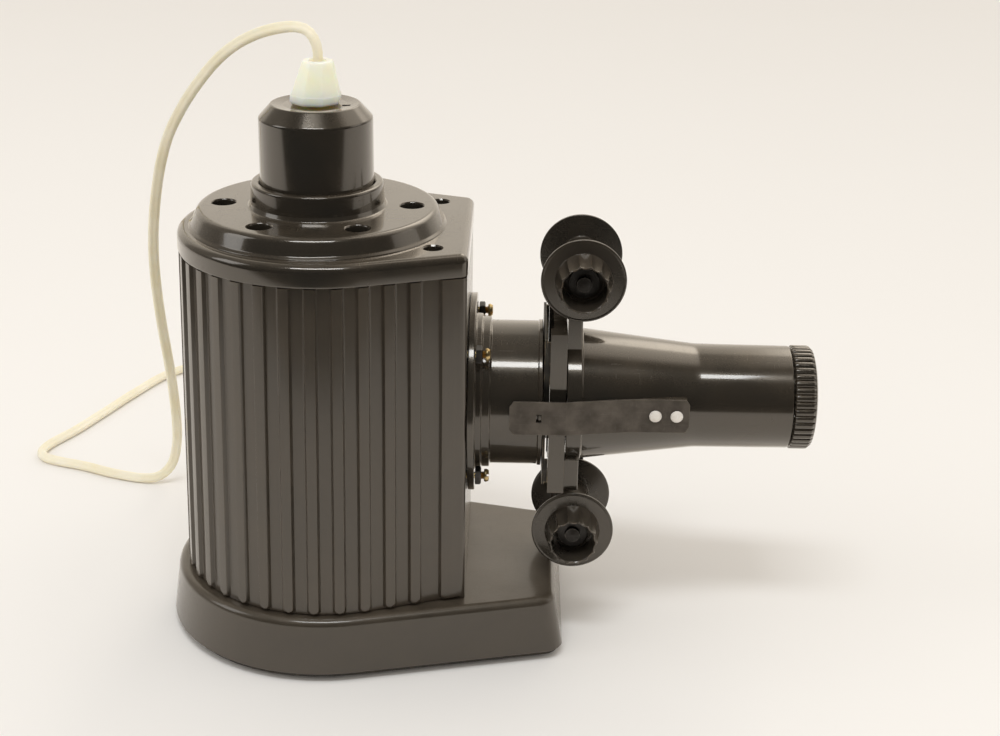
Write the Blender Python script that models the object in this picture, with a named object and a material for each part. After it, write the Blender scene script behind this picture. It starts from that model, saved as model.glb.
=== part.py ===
"""A small 35 mm filmstrip projector: moulded base, fluted lamp house, lampholder with its cord,
condenser tube, clip-on film gate and lens carrier, two film spools and a sliding objective.

Metres, +Z up, optical axis along +X. Lengths below are in millimetres in a working frame whose Z axis is
the lamp axis; MM scales them and FRAME_X moves the whole object so its box is centred on the origin.
"""

import math

import bmesh
import bpy
from mathutils import Vector

for old in list(bpy.data.objects):
    bpy.data.objects.remove(old, do_unlink=True)

MM = 0.001
GAP = 0.3
SKIM = 0.003  # keeps a cut's end off the face that it would otherwise share
SCREW_R = 1.5
SCREW_HOLE_R = 2.0

# Base moulding: a round back running into a tapered tongue
BASE_R_LOW = 70.0
BASE_R_TOP = 66.8
BASE_CX = 1.5
BASE_FRONT_LOW = 107.0
BASE_FRONT_TOP = 103.0
BASE_HALF_LOW = 46.0
BASE_HALF_TOP = 42.5
BASE_FOOT_Z = 4.0
BASE_TOP_Z = 28.0
BASE_ROUND = 3.0
BASE_WALL = 3.2
BASE_CORNER = 9.0
BASE_AIR_R = 26.0
FOOT_H = 1.6
FOOT_R = 5.0
FOOT_PEG_R = 2.0
PLATE_T = 1.8
PLATE_INSET = 2.2
PLATE_AIR_R = 22.0
PLATE_ACCESS_R = 4.5

# Lamp house moulding
HOUSE_CX = 2.4
HOUSE_R_LOW = 63.6
HOUSE_R_TOP = 61.0
HOUSE_FRONT = 64.3
HOUSE_HALF_LOW = 44.4
HOUSE_HALF_TOP = 42.6
HOUSE_TOP_Z = 172.6
HOUSE_WALL = 3.4
RIB_COUNT = 27
RIB_PITCH = 10.74
RIB_W = 5.0
FLUTE_DEPTH = 1.7
FLUTE_SLOPE = 0.7
PLINTH_T = 2.6
HOUSE_CORNER = 2.5
WINDOW_R = 26.0
WINDOW_REACH = 9.0
HOUSE_AIR_R = 4.0
HOUSE_AIR_CIRCLE = 17.0
HOUSE_BOSS_R = 4.6

# Top cap
CAP_RIM_H = 9.4
CAP_ROUND = 3.4
DISC_R = 53.0
DISC_H = 7.8
COLLAR_R = 27.6
COLLAR_H = 10.4
VENT_COUNT = 6
VENT_R = 4.9
VENT_CIRCLE = 39.6
CAP_CORNER = 3.5
CAP_WALL = 4.4
CAP_BOSS_R = 6.2
CAP_SINK_R = 4.0
CAP_SCREW_X = 50.0
CAP_SCREW_Y = 33.84

# Lampholder and lamp
HOLDER_R = 23.8
HOLDER_TOP_R = 18.6
HOLDER_BODY_H = 31.5
HOLDER_CHAMFER_H = 5.8
GRIP_R = 11.0
GRIP_TOP_R = 6.4
GRIP_H = 17.4
GRIP_LEAN = 1.4
CORD_D = 5.0
CERAMIC_R = 20.2
CERAMIC_H = 13.0
LINER_R = 14.5
LINER_H = 26.0
SKIRT_R = 17.5
SKIRT_H = 29.0
BULB_R = 22.0
BULB_WALL = 0.9
LAMP_CAP_R = 13.1
REFLECTOR_R = 42.0
REFLECTOR_T = 1.0

# Optical axis and condenser
AXIS_Z = 106.5
FLANGE_R = 43.2
FLANGE_T = 3.0
BOLT_CIRCLE = 39.2
NUT_HALF = 3.2
NUT_T = 2.6
NUT_ROOM_R = 5.2
TUBE_R = 31.4
TUBE_FOOT_R = TUBE_R + 1.6
TUBE_WALL = 2.4
TUBE_FOOT_END = 73.7
TUBE_END = 96.0
TUBE_BEAD = 0.5
STUD_HALF = 1.6
STUD_X = (93.6, 95.4)
CONDENSER_R = TUBE_R - TUBE_WALL - 1.4
FLANGE_BORE_R = CONDENSER_R - 3.0
CONDENSER_BULGE = 7.0
CONDENSER_EDGE = 1.6
CONDENSER_SPAN = 19.4

# Film gate
GATE_HALF_Y = TUBE_R - 5.4
GATE_HALF_Z = 36.3
PRESS_X = 96.5
PRESS_T = 1.1
PRESS_HALF_Y = GATE_HALF_Y - 2.0
PRESS_HALF_Z = 33.6
GATE_X = 99.0
GATE_T = 7.0
FILM_W = 35.0
FRAME_W = 24.0
FRAME_H = 36.0

# Lens carrier and objective
CARRIER_DISC_R = TUBE_R - 1.4
CARRIER_DISC_X = 106.4
CARRIER_DISC_T = 6.4
CONE_R = CARRIER_DISC_R - 1.5
BARREL_R = 22.3
CONE_END = 164.0
BARREL_END = 203.0
CARRIER_WALL = 2.6
CARRIER_BORE_R = CARRIER_DISC_R - 5.5
TONGUE_IN = 24.0
TONGUE_OUT = 40.0
KNURL_END = 213.5
KNURL_COUNT = 40
OBJECTIVE_R = 18.6
OBJECTIVE_REAR = 172.0

# Leaf springs
SPRING_T = 0.8
SPRING_H = 14.9
SPRING_Z = AXIS_Z + 1.5
SPRING_Y = TUBE_FOOT_R
SPRING_SET = SPRING_Y - BARREL_R - 5.5
SPRING_TIP = 1.6
SPRING_START = 83.8
SPRING_END = 156.6
RIVET_X = (143.8, 152.8)
RIVET_R = 2.7

# Spools
SPOOL_X_TOP = 112.1
SPOOL_X_LOW = 110.7
SPOOL_DROP = 57.7
SPOOL_Z_TOP = AXIS_Z + SPOOL_DROP
SPOOL_Z_LOW = AXIS_Z - SPOOL_DROP
SPOOL_R = 17.9
SPOOL_HALF = 19.0
SPOOL_FLANGE_T = 1.4
SPOOL_CORE_R = 8.3
KNOB_R = 11.4
KNOB_END_R = 10.5
KNOB_BORE_R = 8.9
KNOB_L = 12.2
KNOB_FLUTES = 14
AXLE_R = 3.4
AXLE_EYE_R = 6.5
TONGUE_HALF = SPOOL_HALF - SPOOL_FLANGE_T - 2.6

FRAME_X = -(BASE_CX - BASE_R_LOW + KNURL_END) / 2

BLACK = (0.012, 0.010, 0.009)
BROWN_BLACK = (0.022, 0.017, 0.014)
FINISHES = {
    "bakelite": (BLACK, 0.0, 0.28),
    "bakelite_worn": (BROWN_BLACK, 0.0, 0.42),
    "brown_steel": ((0.06, 0.05, 0.042), 0.8, 0.45),
    "dark_steel": ((0.05, 0.048, 0.045), 0.9, 0.5),
    "bright_steel": ((0.62, 0.62, 0.60), 1.0, 0.3),
    "aluminium": ((0.78, 0.78, 0.76), 1.0, 0.35),
    "brass": ((0.70, 0.48, 0.20), 1.0, 0.3),
    "rubber": ((0.02, 0.02, 0.02), 0.0, 0.8),
    "ivory": ((0.82, 0.80, 0.62), 0.0, 0.4),
    "cream_cord": ((0.80, 0.74, 0.55), 0.0, 0.5),
    "ceramic": ((0.85, 0.83, 0.78), 0.0, 0.35),
    "glass": ((0.90, 0.93, 0.92), 0.0, 0.05),
}


def at(x, y, z):
    """A working-frame point as an object location in metres."""
    return Vector(((x + FRAME_X) * MM, y * MM, z * MM))


def finish(obj, kind):
    colour, metallic, roughness = FINISHES[kind]
    material = bpy.data.materials.new(obj.name + "_" + kind)
    material.use_nodes = True
    shader = material.node_tree.nodes["Principled BSDF"]
    shader.inputs["Base Color"].default_value = (*colour, 1.0)
    shader.inputs["Metallic"].default_value = metallic
    shader.inputs["Roughness"].default_value = roughness
    if kind == "glass":
        shader.inputs["Transmission Weight"].default_value = 1.0
    obj.data.materials.append(material)


def made(name, points, faces, kind, origin=(0, 0, 0), smooth=False):
    """One object from working-frame points, its origin put at `origin`."""
    base = Vector(origin)
    mesh = bpy.data.meshes.new(name)
    mesh.from_pydata([(Vector(p) - base) * MM for p in points], [], faces)
    shape = bmesh.new()
    shape.from_mesh(mesh)
    bmesh.ops.recalc_face_normals(shape, faces=shape.faces)
    shape.to_mesh(mesh)
    shape.free()
    obj = bpy.data.objects.new(name, mesh)
    obj.location = at(*origin)
    bpy.context.scene.collection.objects.link(obj)
    if kind is None:
        obj.hide_render = True
        obj.display_type = "WIRE"
    else:
        finish(obj, kind)
    if smooth:
        mesh.shade_smooth()
        mesh.set_sharp_from_angle(angle=math.radians(35))
    return obj


def turned(name, axis, centre, profile, kind, steps=40, radius_at=None):
    """A body turned about a line through `centre` along axis X, Y or Z.

    `profile` is a closed run of (along, radius); a point of radius 0 lies on the axis. `radius_at`
    may change each ring point's radius: it takes (profile index, radius, step) and returns a radius.
    """
    points = []
    rings = []
    for index, (along, radius) in enumerate(profile):
        ring = []
        for step in range(steps if radius > 0 else 1):
            angle = 2 * math.pi * step / steps
            reach = radius_at(index, radius, step) if radius_at and radius > 0 else radius
            across = (reach * math.cos(angle), reach * math.sin(angle))
            local = {
                "X": (along, across[0], across[1]),
                "Y": (across[0], along, across[1]),
                "Z": (across[0], across[1], along),
            }[axis]
            ring.append(len(points))
            points.append([centre[k] + local[k] for k in range(3)])
        rings.append(ring)
    faces = []
    for index, ring in enumerate(rings):
        following = rings[(index + 1) % len(rings)]
        for step in range(steps):
            after = (step + 1) % steps
            if len(ring) == 1 and len(following) == 1:
                break
            if len(ring) == 1:
                faces.append((ring[0], following[after], following[step]))
            elif len(following) == 1:
                faces.append((ring[step], ring[after], following[0]))
            else:
                faces.append((ring[step], ring[after], following[after], following[step]))
    return made(name, points, faces, kind, centre, smooth=True)


def lofted(name, sections, kind, origin=(0, 0, 0), smooth=False):
    """A capped body through closed sections of equal point count."""
    points = [p for section in sections for p in section]
    count = len(sections[0])
    faces = [tuple(range(count)), tuple(range(len(points) - count, len(points)))]
    for level in range(len(sections) - 1):
        for step in range(count):
            after = (step + 1) % count
            low = level * count
            faces.append((low + step, low + after, low + count + after, low + count + step))
    return made(name, points, faces, kind, origin, smooth)


def block(name, low, high, kind, origin=None):
    """A box between two working-frame corners."""
    middle = origin or [(low[k] + high[k]) / 2 for k in range(3)]
    sections = [
        [(low[0], low[1], z), (high[0], low[1], z), (high[0], high[1], z), (low[0], high[1], z)]
        for z in (low[2], high[2])
    ]
    return lofted(name, sections, kind, middle)


def rod(name, axis, centre, start, end, radius, kind, steps=16):
    """A plain cylinder from `start` to `end` along an axis through `centre`."""
    profile = [(start, 0), (start, radius), (end, radius), (end, 0)]
    return turned(name, axis, centre, profile, kind, steps)


def joined(obj, other, operation):
    """A Boolean modifier on `obj` with the hidden shape `other`."""
    change = obj.modifiers.new(operation.lower() + "_" + other.name, "BOOLEAN")
    change.operation = operation
    change.solver = "EXACT"
    change.object = other
    other.hide_render = True
    other.display_type = "WIRE"


def cut(obj, other):
    joined(obj, other, "DIFFERENCE")


def add(obj, other):
    joined(obj, other, "UNION")


# ---------------------------------------------------------------- plan outlines


def side_angle(cx, radius, front, half):
    """The angle on the back circle where the straight side leaves for the front corner."""
    reach = math.hypot(front - cx, half)
    return math.acos(radius / reach) + math.atan2(half, front - cx)


def front_corner(angle, front, half, corner, side, steps):
    """Points of one rounded front corner, from the front face to the side when side is +1."""
    centre_y = half - corner * (1 - math.cos(angle)) / math.sin(angle)
    run = []
    for step in range(steps + 1):
        turn = angle * step / steps
        x = front - corner + corner * math.cos(turn)
        run.append((x, side * (centre_y + corner * math.sin(turn))))
    return run


def plan(cx, radius, front, half, corner, back_steps=36, corner_steps=4):
    """A plain closed outline, anticlockwise: front corners, straight sides and the back circle."""
    angle = side_angle(cx, radius, front, half)
    outline = front_corner(angle, front, half, corner, 1, corner_steps)
    for step in range(back_steps + 1):
        turn = angle + (2 * math.pi - 2 * angle) * step / back_steps
        outline.append((cx + radius * math.cos(turn), radius * math.sin(turn)))
    outline += reversed(front_corner(angle, front, half, corner, -1, corner_steps))
    return outline


def fluted_plan(cx, radius, front, half, corner, depth):
    """The same outline with ribs standing between flutes `depth` deep around the sides and back."""
    angle = side_angle(cx, radius, front, half)
    leave = (cx + radius * math.cos(angle), radius * math.sin(angle))
    side = math.hypot(front - leave[0], half - leave[1])
    whole = 2 * side + 2 * radius * (math.pi - angle)
    nominal_half = RIB_PITCH * (RIB_COUNT + 3) / 2
    scale = (whole / 2) / nominal_half

    def spot(run, inset):
        if run > whole / 2:
            x, y = spot(whole - run, inset)
            return x, -y
        if run < side:
            share = run / side
            x = front + (leave[0] - front) * share
            y = half + (leave[1] - half) * share
            turn = angle
        else:
            turn = angle + (run - side) / radius
            x = cx + radius * math.cos(turn)
            y = radius * math.sin(turn)
        return x - inset * math.cos(turn), y - inset * math.sin(turn)

    outline = front_corner(angle, front, half, corner, 1, 3)
    first = nominal_half - RIB_PITCH * (RIB_COUNT - 1) / 2
    pilaster = first - RIB_PITCH
    outline.append(spot(pilaster * scale, 0))
    outline.append(spot((pilaster + FLUTE_SLOPE) * scale, depth))
    for rib in range(RIB_COUNT):
        centre = first + rib * RIB_PITCH
        for offset, inset in (
            (-RIB_W / 2 - FLUTE_SLOPE, depth),
            (-RIB_W / 2, 0),
            (RIB_W / 2, 0),
            (RIB_W / 2 + FLUTE_SLOPE, depth),
        ):
            outline.append(spot((centre + offset) * scale, inset))
    outline.append(spot(whole - (pilaster + FLUTE_SLOPE) * scale, depth))
    outline.append(spot(whole - pilaster * scale, 0))
    outline += reversed(front_corner(angle, front, half, corner, -1, 3))
    return outline


def level(outline, z):
    return [(x, y, z) for x, y in outline]


# ---------------------------------------------------------------- base


def base_section(share, z, inset=0.0, back_steps=36):
    """The base outline at a share of the way up its drafted side."""
    return level(
        plan(
            BASE_CX,
            BASE_R_LOW + (BASE_R_TOP - BASE_R_LOW) * share - inset,
            BASE_FRONT_LOW + (BASE_FRONT_TOP - BASE_FRONT_LOW) * share - inset,
            BASE_HALF_LOW + (BASE_HALF_TOP - BASE_HALF_LOW) * share - inset * 0.8,
            BASE_CORNER - min(inset, BASE_CORNER / 2),
            back_steps,
        ),
        z,
    )


base_shell = lofted(
    "base_shell",
    [
        base_section(0.0, BASE_FOOT_Z),
        base_section(0.82, BASE_TOP_Z - BASE_ROUND),
        base_section(0.9, BASE_TOP_Z - BASE_ROUND * 0.55, 0.25),
        base_section(0.97, BASE_TOP_Z - BASE_ROUND * 0.15, 1.1),
        base_section(1.0, BASE_TOP_Z, 2.4),
    ],
    "bakelite",
    smooth=True,
)
base_hollow = lofted(
    "base_hollow",
    [
        base_section(0.0, BASE_FOOT_Z - 1, BASE_WALL, 24),
        base_section(0.9, BASE_TOP_Z - BASE_WALL, BASE_WALL + 1, 24),
    ],
    None,
)
cut(base_shell, base_hollow)
base_air = rod("base_air", "Z", (0, 0, 0), BASE_TOP_Z - 6, BASE_TOP_Z + 1, BASE_AIR_R, None, 24)
cut(base_shell, base_air)

BASE_SCREWS = ((-38.0, 0.0), (48.0, 26.0), (48.0, -26.0))
for index, (x, y) in enumerate(BASE_SCREWS):
    hole = rod(f"base_hole_{index}", "Z", (x, y, 0), BASE_TOP_Z - 5, BASE_TOP_Z + 1, 2.1, None)
    cut(base_shell, hole)

plate_z = FOOT_H + GAP
base_plate = lofted(
    "base_plate",
    [
        base_section(0.0, plate_z, PLATE_INSET, 28),
        base_section(0.0, plate_z + PLATE_T, PLATE_INSET, 28),
    ],
    "rubber",
)
FEET = ((-42.0, 42.0), (-42.0, -42.0), (90.0, 32.0), (90.0, -32.0))
for index, (x, y) in enumerate(FEET):
    turned(
        f"foot_{index + 1}",
        "Z",
        (x, y, 0),
        [(0, 0), (0, FOOT_R - 0.4), (FOOT_H - 0.4, FOOT_R + 0.2), (FOOT_H, FOOT_R), (FOOT_H, FOOT_PEG_R),
         (plate_z + 1.2, FOOT_PEG_R), (plate_z + 1.2, 0)],
        "rubber",
        10,
    )
    socket = rod(f"foot_socket_{index}", "Z", (x, y, 0), plate_z - 1, plate_z + PLATE_T + 1,
                 FOOT_PEG_R + GAP, None, 8)
    cut(base_plate, socket)
plate_air = rod("plate_air", "Z", (0, 0, 0), plate_z - 1, plate_z + PLATE_T + 1, PLATE_AIR_R, None,
                24)
cut(base_plate, plate_air)
for index, (x, y) in enumerate(BASE_SCREWS):
    access = rod(f"plate_access_{index}", "Z", (x, y, 0), plate_z - 1, plate_z + PLATE_T + 1,
                 PLATE_ACCESS_R, None, 10)
    cut(base_plate, access)

# ---------------------------------------------------------------- lamp house

house_low = BASE_TOP_Z + GAP


def house_section(share, z, inset=0.0, depth=FLUTE_DEPTH):
    return level(
        fluted_plan(
            HOUSE_CX,
            HOUSE_R_LOW + (HOUSE_R_TOP - HOUSE_R_LOW) * share - inset,
            HOUSE_FRONT - inset,
            HOUSE_HALF_LOW + (HOUSE_HALF_TOP - HOUSE_HALF_LOW) * share - inset,
            HOUSE_CORNER,
            depth,
        ),
        z,
    )


def house_inner(share, z, wall, corner=3.0):
    return level(
        plan(
            HOUSE_CX,
            HOUSE_R_LOW + (HOUSE_R_TOP - HOUSE_R_LOW) * share - wall,
            HOUSE_FRONT - wall,
            HOUSE_HALF_LOW + (HOUSE_HALF_TOP - HOUSE_HALF_LOW) * share - wall * 0.9,
            corner,
            24,
        ),
        z,
    )


lamp_house = lofted(
    "lamp_house",
    [
        house_section(0.0, house_low, 1.3, FLUTE_DEPTH - 1.3),
        house_section(0.01, house_low + 0.8, 0.4, FLUTE_DEPTH - 0.4),
        house_section(0.02, house_low + 2.2),
        house_section(1.0, HOUSE_TOP_Z),
    ],
    "bakelite",
)
house_hollow = lofted(
    "house_hollow",
    [
        house_inner(0.02, house_low + PLINTH_T, HOUSE_WALL + FLUTE_DEPTH),
        house_inner(1.0, HOUSE_TOP_Z + 1, HOUSE_WALL + FLUTE_DEPTH - 1),
    ],
    None,
)
cut(lamp_house, house_hollow)
house_window = rod("house_window", "X", (0, 0, AXIS_Z), HOUSE_FRONT - WINDOW_REACH, HOUSE_FRONT + 1,
                   WINDOW_R, None, 40)
cut(lamp_house, house_window)
for index in range(VENT_COUNT):
    angle = 2 * math.pi * (index + 0.5) / VENT_COUNT
    centre = (HOUSE_AIR_CIRCLE * math.cos(angle), HOUSE_AIR_CIRCLE * math.sin(angle), 0)
    vent = rod(f"house_air_{index}", "Z", centre, house_low - 1, house_low + PLINTH_T + 1, HOUSE_AIR_R,
               None, 10)
    cut(lamp_house, vent)
for index, (x, y) in enumerate(BASE_SCREWS):
    turned(
        f"base_screw_{index + 1}",
        "Z",
        (x, y, 0),
        [(BASE_TOP_Z - BASE_WALL - 2.6, 0), (BASE_TOP_Z - BASE_WALL - 2.6, 3.2),
         (BASE_TOP_Z - BASE_WALL - GAP, 3.6), (BASE_TOP_Z - BASE_WALL - GAP, 1.7),
         (house_low + PLINTH_T + 3.0, 1.7), (house_low + PLINTH_T + 3.6, 0)],
        "dark_steel",
        12,
    )
    hole = rod(f"house_hole_{index}", "Z", (x, y, 0), house_low - 1, house_low + PLINTH_T + 1,
               SCREW_HOLE_R, None)
    cut(lamp_house, hole)
for index in range(4):
    angle = math.radians(45 + 90 * index)
    centre = (0, BOLT_CIRCLE * math.cos(angle), AXIS_Z + BOLT_CIRCLE * math.sin(angle))
    hole = rod(f"house_bolt_{index}", "X", centre, HOUSE_FRONT - WINDOW_REACH, HOUSE_FRONT + 1,
               SCREW_HOLE_R, None, 10)
    cut(lamp_house, hole)
for side in (1, -1):
    centre = (CAP_SCREW_X, side * CAP_SCREW_Y, 0)
    boss = rod(f"house_boss_{side}", "Z", centre, house_low + 1, HOUSE_TOP_Z - 0.2, HOUSE_BOSS_R, None,
               10)
    add(lamp_house, boss)
    thread = rod(f"house_thread_{side}", "Z", centre, HOUSE_TOP_Z - 14, HOUSE_TOP_Z + 1,
                 SCREW_HOLE_R, None, 8)
    cut(lamp_house, thread)

# ---------------------------------------------------------------- top cap

cap_low = HOUSE_TOP_Z + GAP
cap_top = cap_low + CAP_RIM_H
disc_top = cap_top + DISC_H
collar_top = disc_top + COLLAR_H


def cap_section(z, inset, back_steps=36):
    return level(
        plan(HOUSE_CX, HOUSE_R_TOP - inset, HOUSE_FRONT + 0.4 - inset, HOUSE_HALF_TOP - inset * 0.9,
             CAP_CORNER, back_steps),
        z,
    )


top_cap = lofted(
    "top_cap",
    [
        cap_section(cap_low, 0),
        cap_section(cap_top - CAP_ROUND, 0),
        cap_section(cap_top - CAP_ROUND * 0.45, 0.7),
        cap_section(cap_top, CAP_ROUND),
    ],
    "bakelite",
    smooth=True,
)
cap_disc = turned(
    "cap_disc",
    "Z",
    (0, 0, 0),
    [(cap_top - 2, 0), (cap_top - 2, DISC_R), (cap_top + 0.5, DISC_R), (disc_top - 2.4, DISC_R - 0.3),
     (disc_top - 0.8, DISC_R - 1.1), (disc_top, DISC_R - 2.8), (disc_top, COLLAR_R + 2.0),
     (disc_top + 1.2, COLLAR_R + 0.9), (collar_top - 1.0, COLLAR_R),
     (collar_top, COLLAR_R - 0.9), (collar_top, 0)],
    None,
    44,
)
add(top_cap, cap_disc)
cap_hollow = lofted(
    "cap_hollow",
    [cap_section(cap_low - 1, CAP_WALL, 24), cap_section(cap_top - 3, CAP_WALL + 0.4, 24)],
    None,
)
cut(top_cap, cap_hollow)
disc_hollow = turned(
    "disc_hollow",
    "Z",
    (0, 0, 0),
    [(cap_low + 2, 0), (cap_low + 2, DISC_R - 4), (disc_top - 3, DISC_R - 4), (disc_top - 3, 0)],
    None,
    24,
)
cut(top_cap, disc_hollow)
holder_seat = disc_top + 0.8
collar_bore = turned(
    "collar_bore",
    "Z",
    (0, 0, 0),
    [(disc_top - 6, 0), (disc_top - 6, 18.0), (holder_seat - GAP, 18.0),
     (holder_seat - GAP, HOLDER_R + GAP), (collar_top + 1, HOLDER_R + GAP), (collar_top + 1, 0)],
    None,
    44,
)
cut(top_cap, collar_bore)
for index in range(VENT_COUNT):
    angle = 2 * math.pi * index / VENT_COUNT
    centre = (VENT_CIRCLE * math.cos(angle), VENT_CIRCLE * math.sin(angle), 0)
    vent = turned(
        f"cap_vent_{index}",
        "Z",
        centre,
        [(disc_top - 5, 0), (disc_top - 5, VENT_R), (disc_top - 0.7, VENT_R), (disc_top + 0.3, VENT_R + 0.9),
         (disc_top + 0.3, 0)],
        None,
        14,
    )
    cut(top_cap, vent)
for index, side in enumerate((1, -1)):
    centre = (CAP_SCREW_X, side * CAP_SCREW_Y, 0)
    boss = rod(f"cap_boss_{index}", "Z", centre, cap_low + 0.2, cap_top - 1, CAP_BOSS_R, None, 12)
    add(top_cap, boss)
    sink = turned(
        f"cap_sink_{index}",
        "Z",
        centre,
        [(cap_low - 1, 0), (cap_low - 1, SCREW_HOLE_R), (cap_low + 3, SCREW_HOLE_R),
         (cap_low + 3, CAP_SINK_R), (cap_top + 1, CAP_SINK_R), (cap_top + 1, 0)],
        None,
        12,
    )
    cut(top_cap, sink)
    turned(
        f"cap_screw_{index + 1}",
        "Z",
        centre,
        [(HOUSE_TOP_Z - 9, 0), (HOUSE_TOP_Z - 8, 1.6), (cap_low + 3.3, 1.6), (cap_low + 3.3, 3.4),
         (cap_low + 4.9, 3.3), (cap_low + 5.5, 2.6), (cap_low + 5.7, 0)],
        "dark_steel",
        12,
    )

# ---------------------------------------------------------------- lampholder and lamp

holder_low = holder_seat
holder_shoulder = holder_low + HOLDER_BODY_H + 5.0
holder_top = holder_shoulder + HOLDER_CHAMFER_H
lampholder_body = turned(
    "lampholder_body",
    "Z",
    (0, 0, 0),
    [(holder_low, HOLDER_R), (holder_shoulder, HOLDER_R - 0.1), (holder_shoulder + 2.6, HOLDER_R - 1.2),
     (holder_top - 0.7, HOLDER_TOP_R + 0.6), (holder_top, HOLDER_TOP_R - 0.4), (holder_top, 4.6),
     (holder_top - 4.0, 4.6), (holder_top - 4.0, 15.0), (holder_shoulder - 4, 20.6),
     (holder_low, 20.6)],
    "bakelite",
    52,
)
ceramic_low = holder_low + 3
turned(
    "ceramic_insert",
    "Z",
    (0, 0, 0),
    [(ceramic_low, 3.0), (ceramic_low, CERAMIC_R), (ceramic_low + CERAMIC_H, CERAMIC_R),
     (ceramic_low + CERAMIC_H, 12.0), (ceramic_low + CERAMIC_H - 4, 12.0),
     (ceramic_low + CERAMIC_H - 4, 3.0)],
    "ceramic",
    24,
)
turned(
    "centre_contact",
    "Z",
    (0, 0, 0),
    [(ceramic_low - 2.2, 0), (ceramic_low - 1.6, 4.2), (ceramic_low - GAP, 4.2), (ceramic_low - GAP, 2.6),
     (ceramic_low + 10.5, 2.6), (ceramic_low + 11.0, 0)],
    "brass",
    12,
)
liner_top = ceramic_low - GAP
turned(
    "thread_liner",
    "Z",
    (0, 0, 0),
    [(liner_top - LINER_H, LINER_R - 0.6), (liner_top - LINER_H, LINER_R), (liner_top, LINER_R),
     (liner_top, 6.0), (liner_top - 0.7, 6.0), (liner_top - 0.7, LINER_R - 0.6)],
    "brass",
    28,
)
turned(
    "lampholder_skirt",
    "Z",
    (0, 0, 0),
    [(liner_top - SKIRT_H, LINER_R + 0.4), (liner_top - SKIRT_H, SKIRT_R - 0.5),
     (liner_top - SKIRT_H / 2, SKIRT_R), (liner_top - 2, SKIRT_R), (liner_top - 2, LINER_R + 0.4)],
    "bakelite_worn",
    28,
)
bulb_cap_top = ceramic_low - 2.2 - GAP
bulb_cap_low = bulb_cap_top - 24
turned(
    "lamp_cap",
    "Z",
    (0, 0, 0),
    [(bulb_cap_low, LAMP_CAP_R - 0.7), (bulb_cap_low, LAMP_CAP_R), (bulb_cap_top - 5, LAMP_CAP_R),
     (bulb_cap_top - 3, 10.0), (bulb_cap_top - 1, 4.8), (bulb_cap_top, 4.6), (bulb_cap_top, 0),
     (bulb_cap_top - 7, 0), (bulb_cap_top - 7, LAMP_CAP_R - 0.7)],
    "brass",
    24,
)
glass_outer = [(bulb_cap_low + 8, 11.6), (bulb_cap_low - 2, 11.9), (bulb_cap_low - 10, 13.2)]
glass_centre = AXIS_Z + 8
for step in range(8):
    turn = math.radians(48 - (48 + 90) * step / 7)
    glass_outer.append((glass_centre + BULB_R * math.sin(turn), BULB_R * math.cos(turn)))
glass_outer[-1] = (glass_outer[-1][0], 0)
glass_inner = [(z, max(r - BULB_WALL, 0)) for z, r in reversed(glass_outer)]
glass_inner[0] = (glass_centre - BULB_R + BULB_WALL, 0)
turned("lamp_glass", "Z", (0, 0, 0), glass_outer + glass_inner, "glass", 22)

dish = []
for step in range(5):
    turn = math.radians(34 * step / 4)
    dish.append((-REFLECTOR_R * math.cos(turn), REFLECTOR_R * math.sin(turn)))
dish_back = [(x - REFLECTOR_T, r) for x, r in reversed(dish)]
turned("reflector", "X", (0, 0, AXIS_Z), dish + dish_back, "bright_steel", 24)
BRACKET_X = -46.0
reflector_bracket = block(
    "reflector_bracket",
    (BRACKET_X - 1.2, -5, house_low + PLINTH_T + GAP),
    (BRACKET_X, 5, AXIS_Z + 8),
    "bright_steel",
)
bracket_foot = block(
    "bracket_foot",
    (BRACKET_X - 1.2, -5, house_low + PLINTH_T + GAP),
    (BRACKET_X + 5.2, 5, house_low + PLINTH_T + GAP + 1.2),
    None,
)
add(reflector_bracket, bracket_foot)
bracket_pin = rod("bracket_pin", "X", (0, 0, AXIS_Z), BRACKET_X - 0.5,
                  -REFLECTOR_R - REFLECTOR_T - GAP, 3.0, None)
add(reflector_bracket, bracket_pin)

# ---------------------------------------------------------------- cord grip, cord, coil and plug

GRIP_SIDES = 8
grip_low = holder_top + GAP


def grip_ring(z, radius):
    share = (z - grip_low) / GRIP_H
    lean = GRIP_LEAN * max(share, 0)
    points = []
    for step in range(GRIP_SIDES):
        angle = 2 * math.pi * (step + 0.5) / GRIP_SIDES
        points.append((lean + radius * math.cos(angle), radius * math.sin(angle), z))
    return points


cord_grip = lofted(
    "cord_grip",
    [
        grip_ring(grip_low, GRIP_R),
        grip_ring(grip_low + 3.2, GRIP_R),
        grip_ring(grip_low + 4.4, GRIP_R - 1.0),
        grip_ring(grip_low + GRIP_H - 1.2, GRIP_TOP_R + 0.5),
        grip_ring(grip_low + GRIP_H, GRIP_TOP_R - 0.5),
    ],
    "ivory",
)
grip_stem = rod("grip_stem", "Z", (0, 0, 0), holder_top - 6, grip_low + 1, 4.2, None)
add(cord_grip, grip_stem)
CORD_START_Z = grip_low + 4
GRIP_BORE_R = 3.1
grip_bore = lofted(
    "grip_bore",
    [grip_ring(holder_top - 7, GRIP_BORE_R), grip_ring(grip_low + GRIP_H + 2, GRIP_BORE_R)],
    None,
)
cut(cord_grip, grip_bore)

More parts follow.
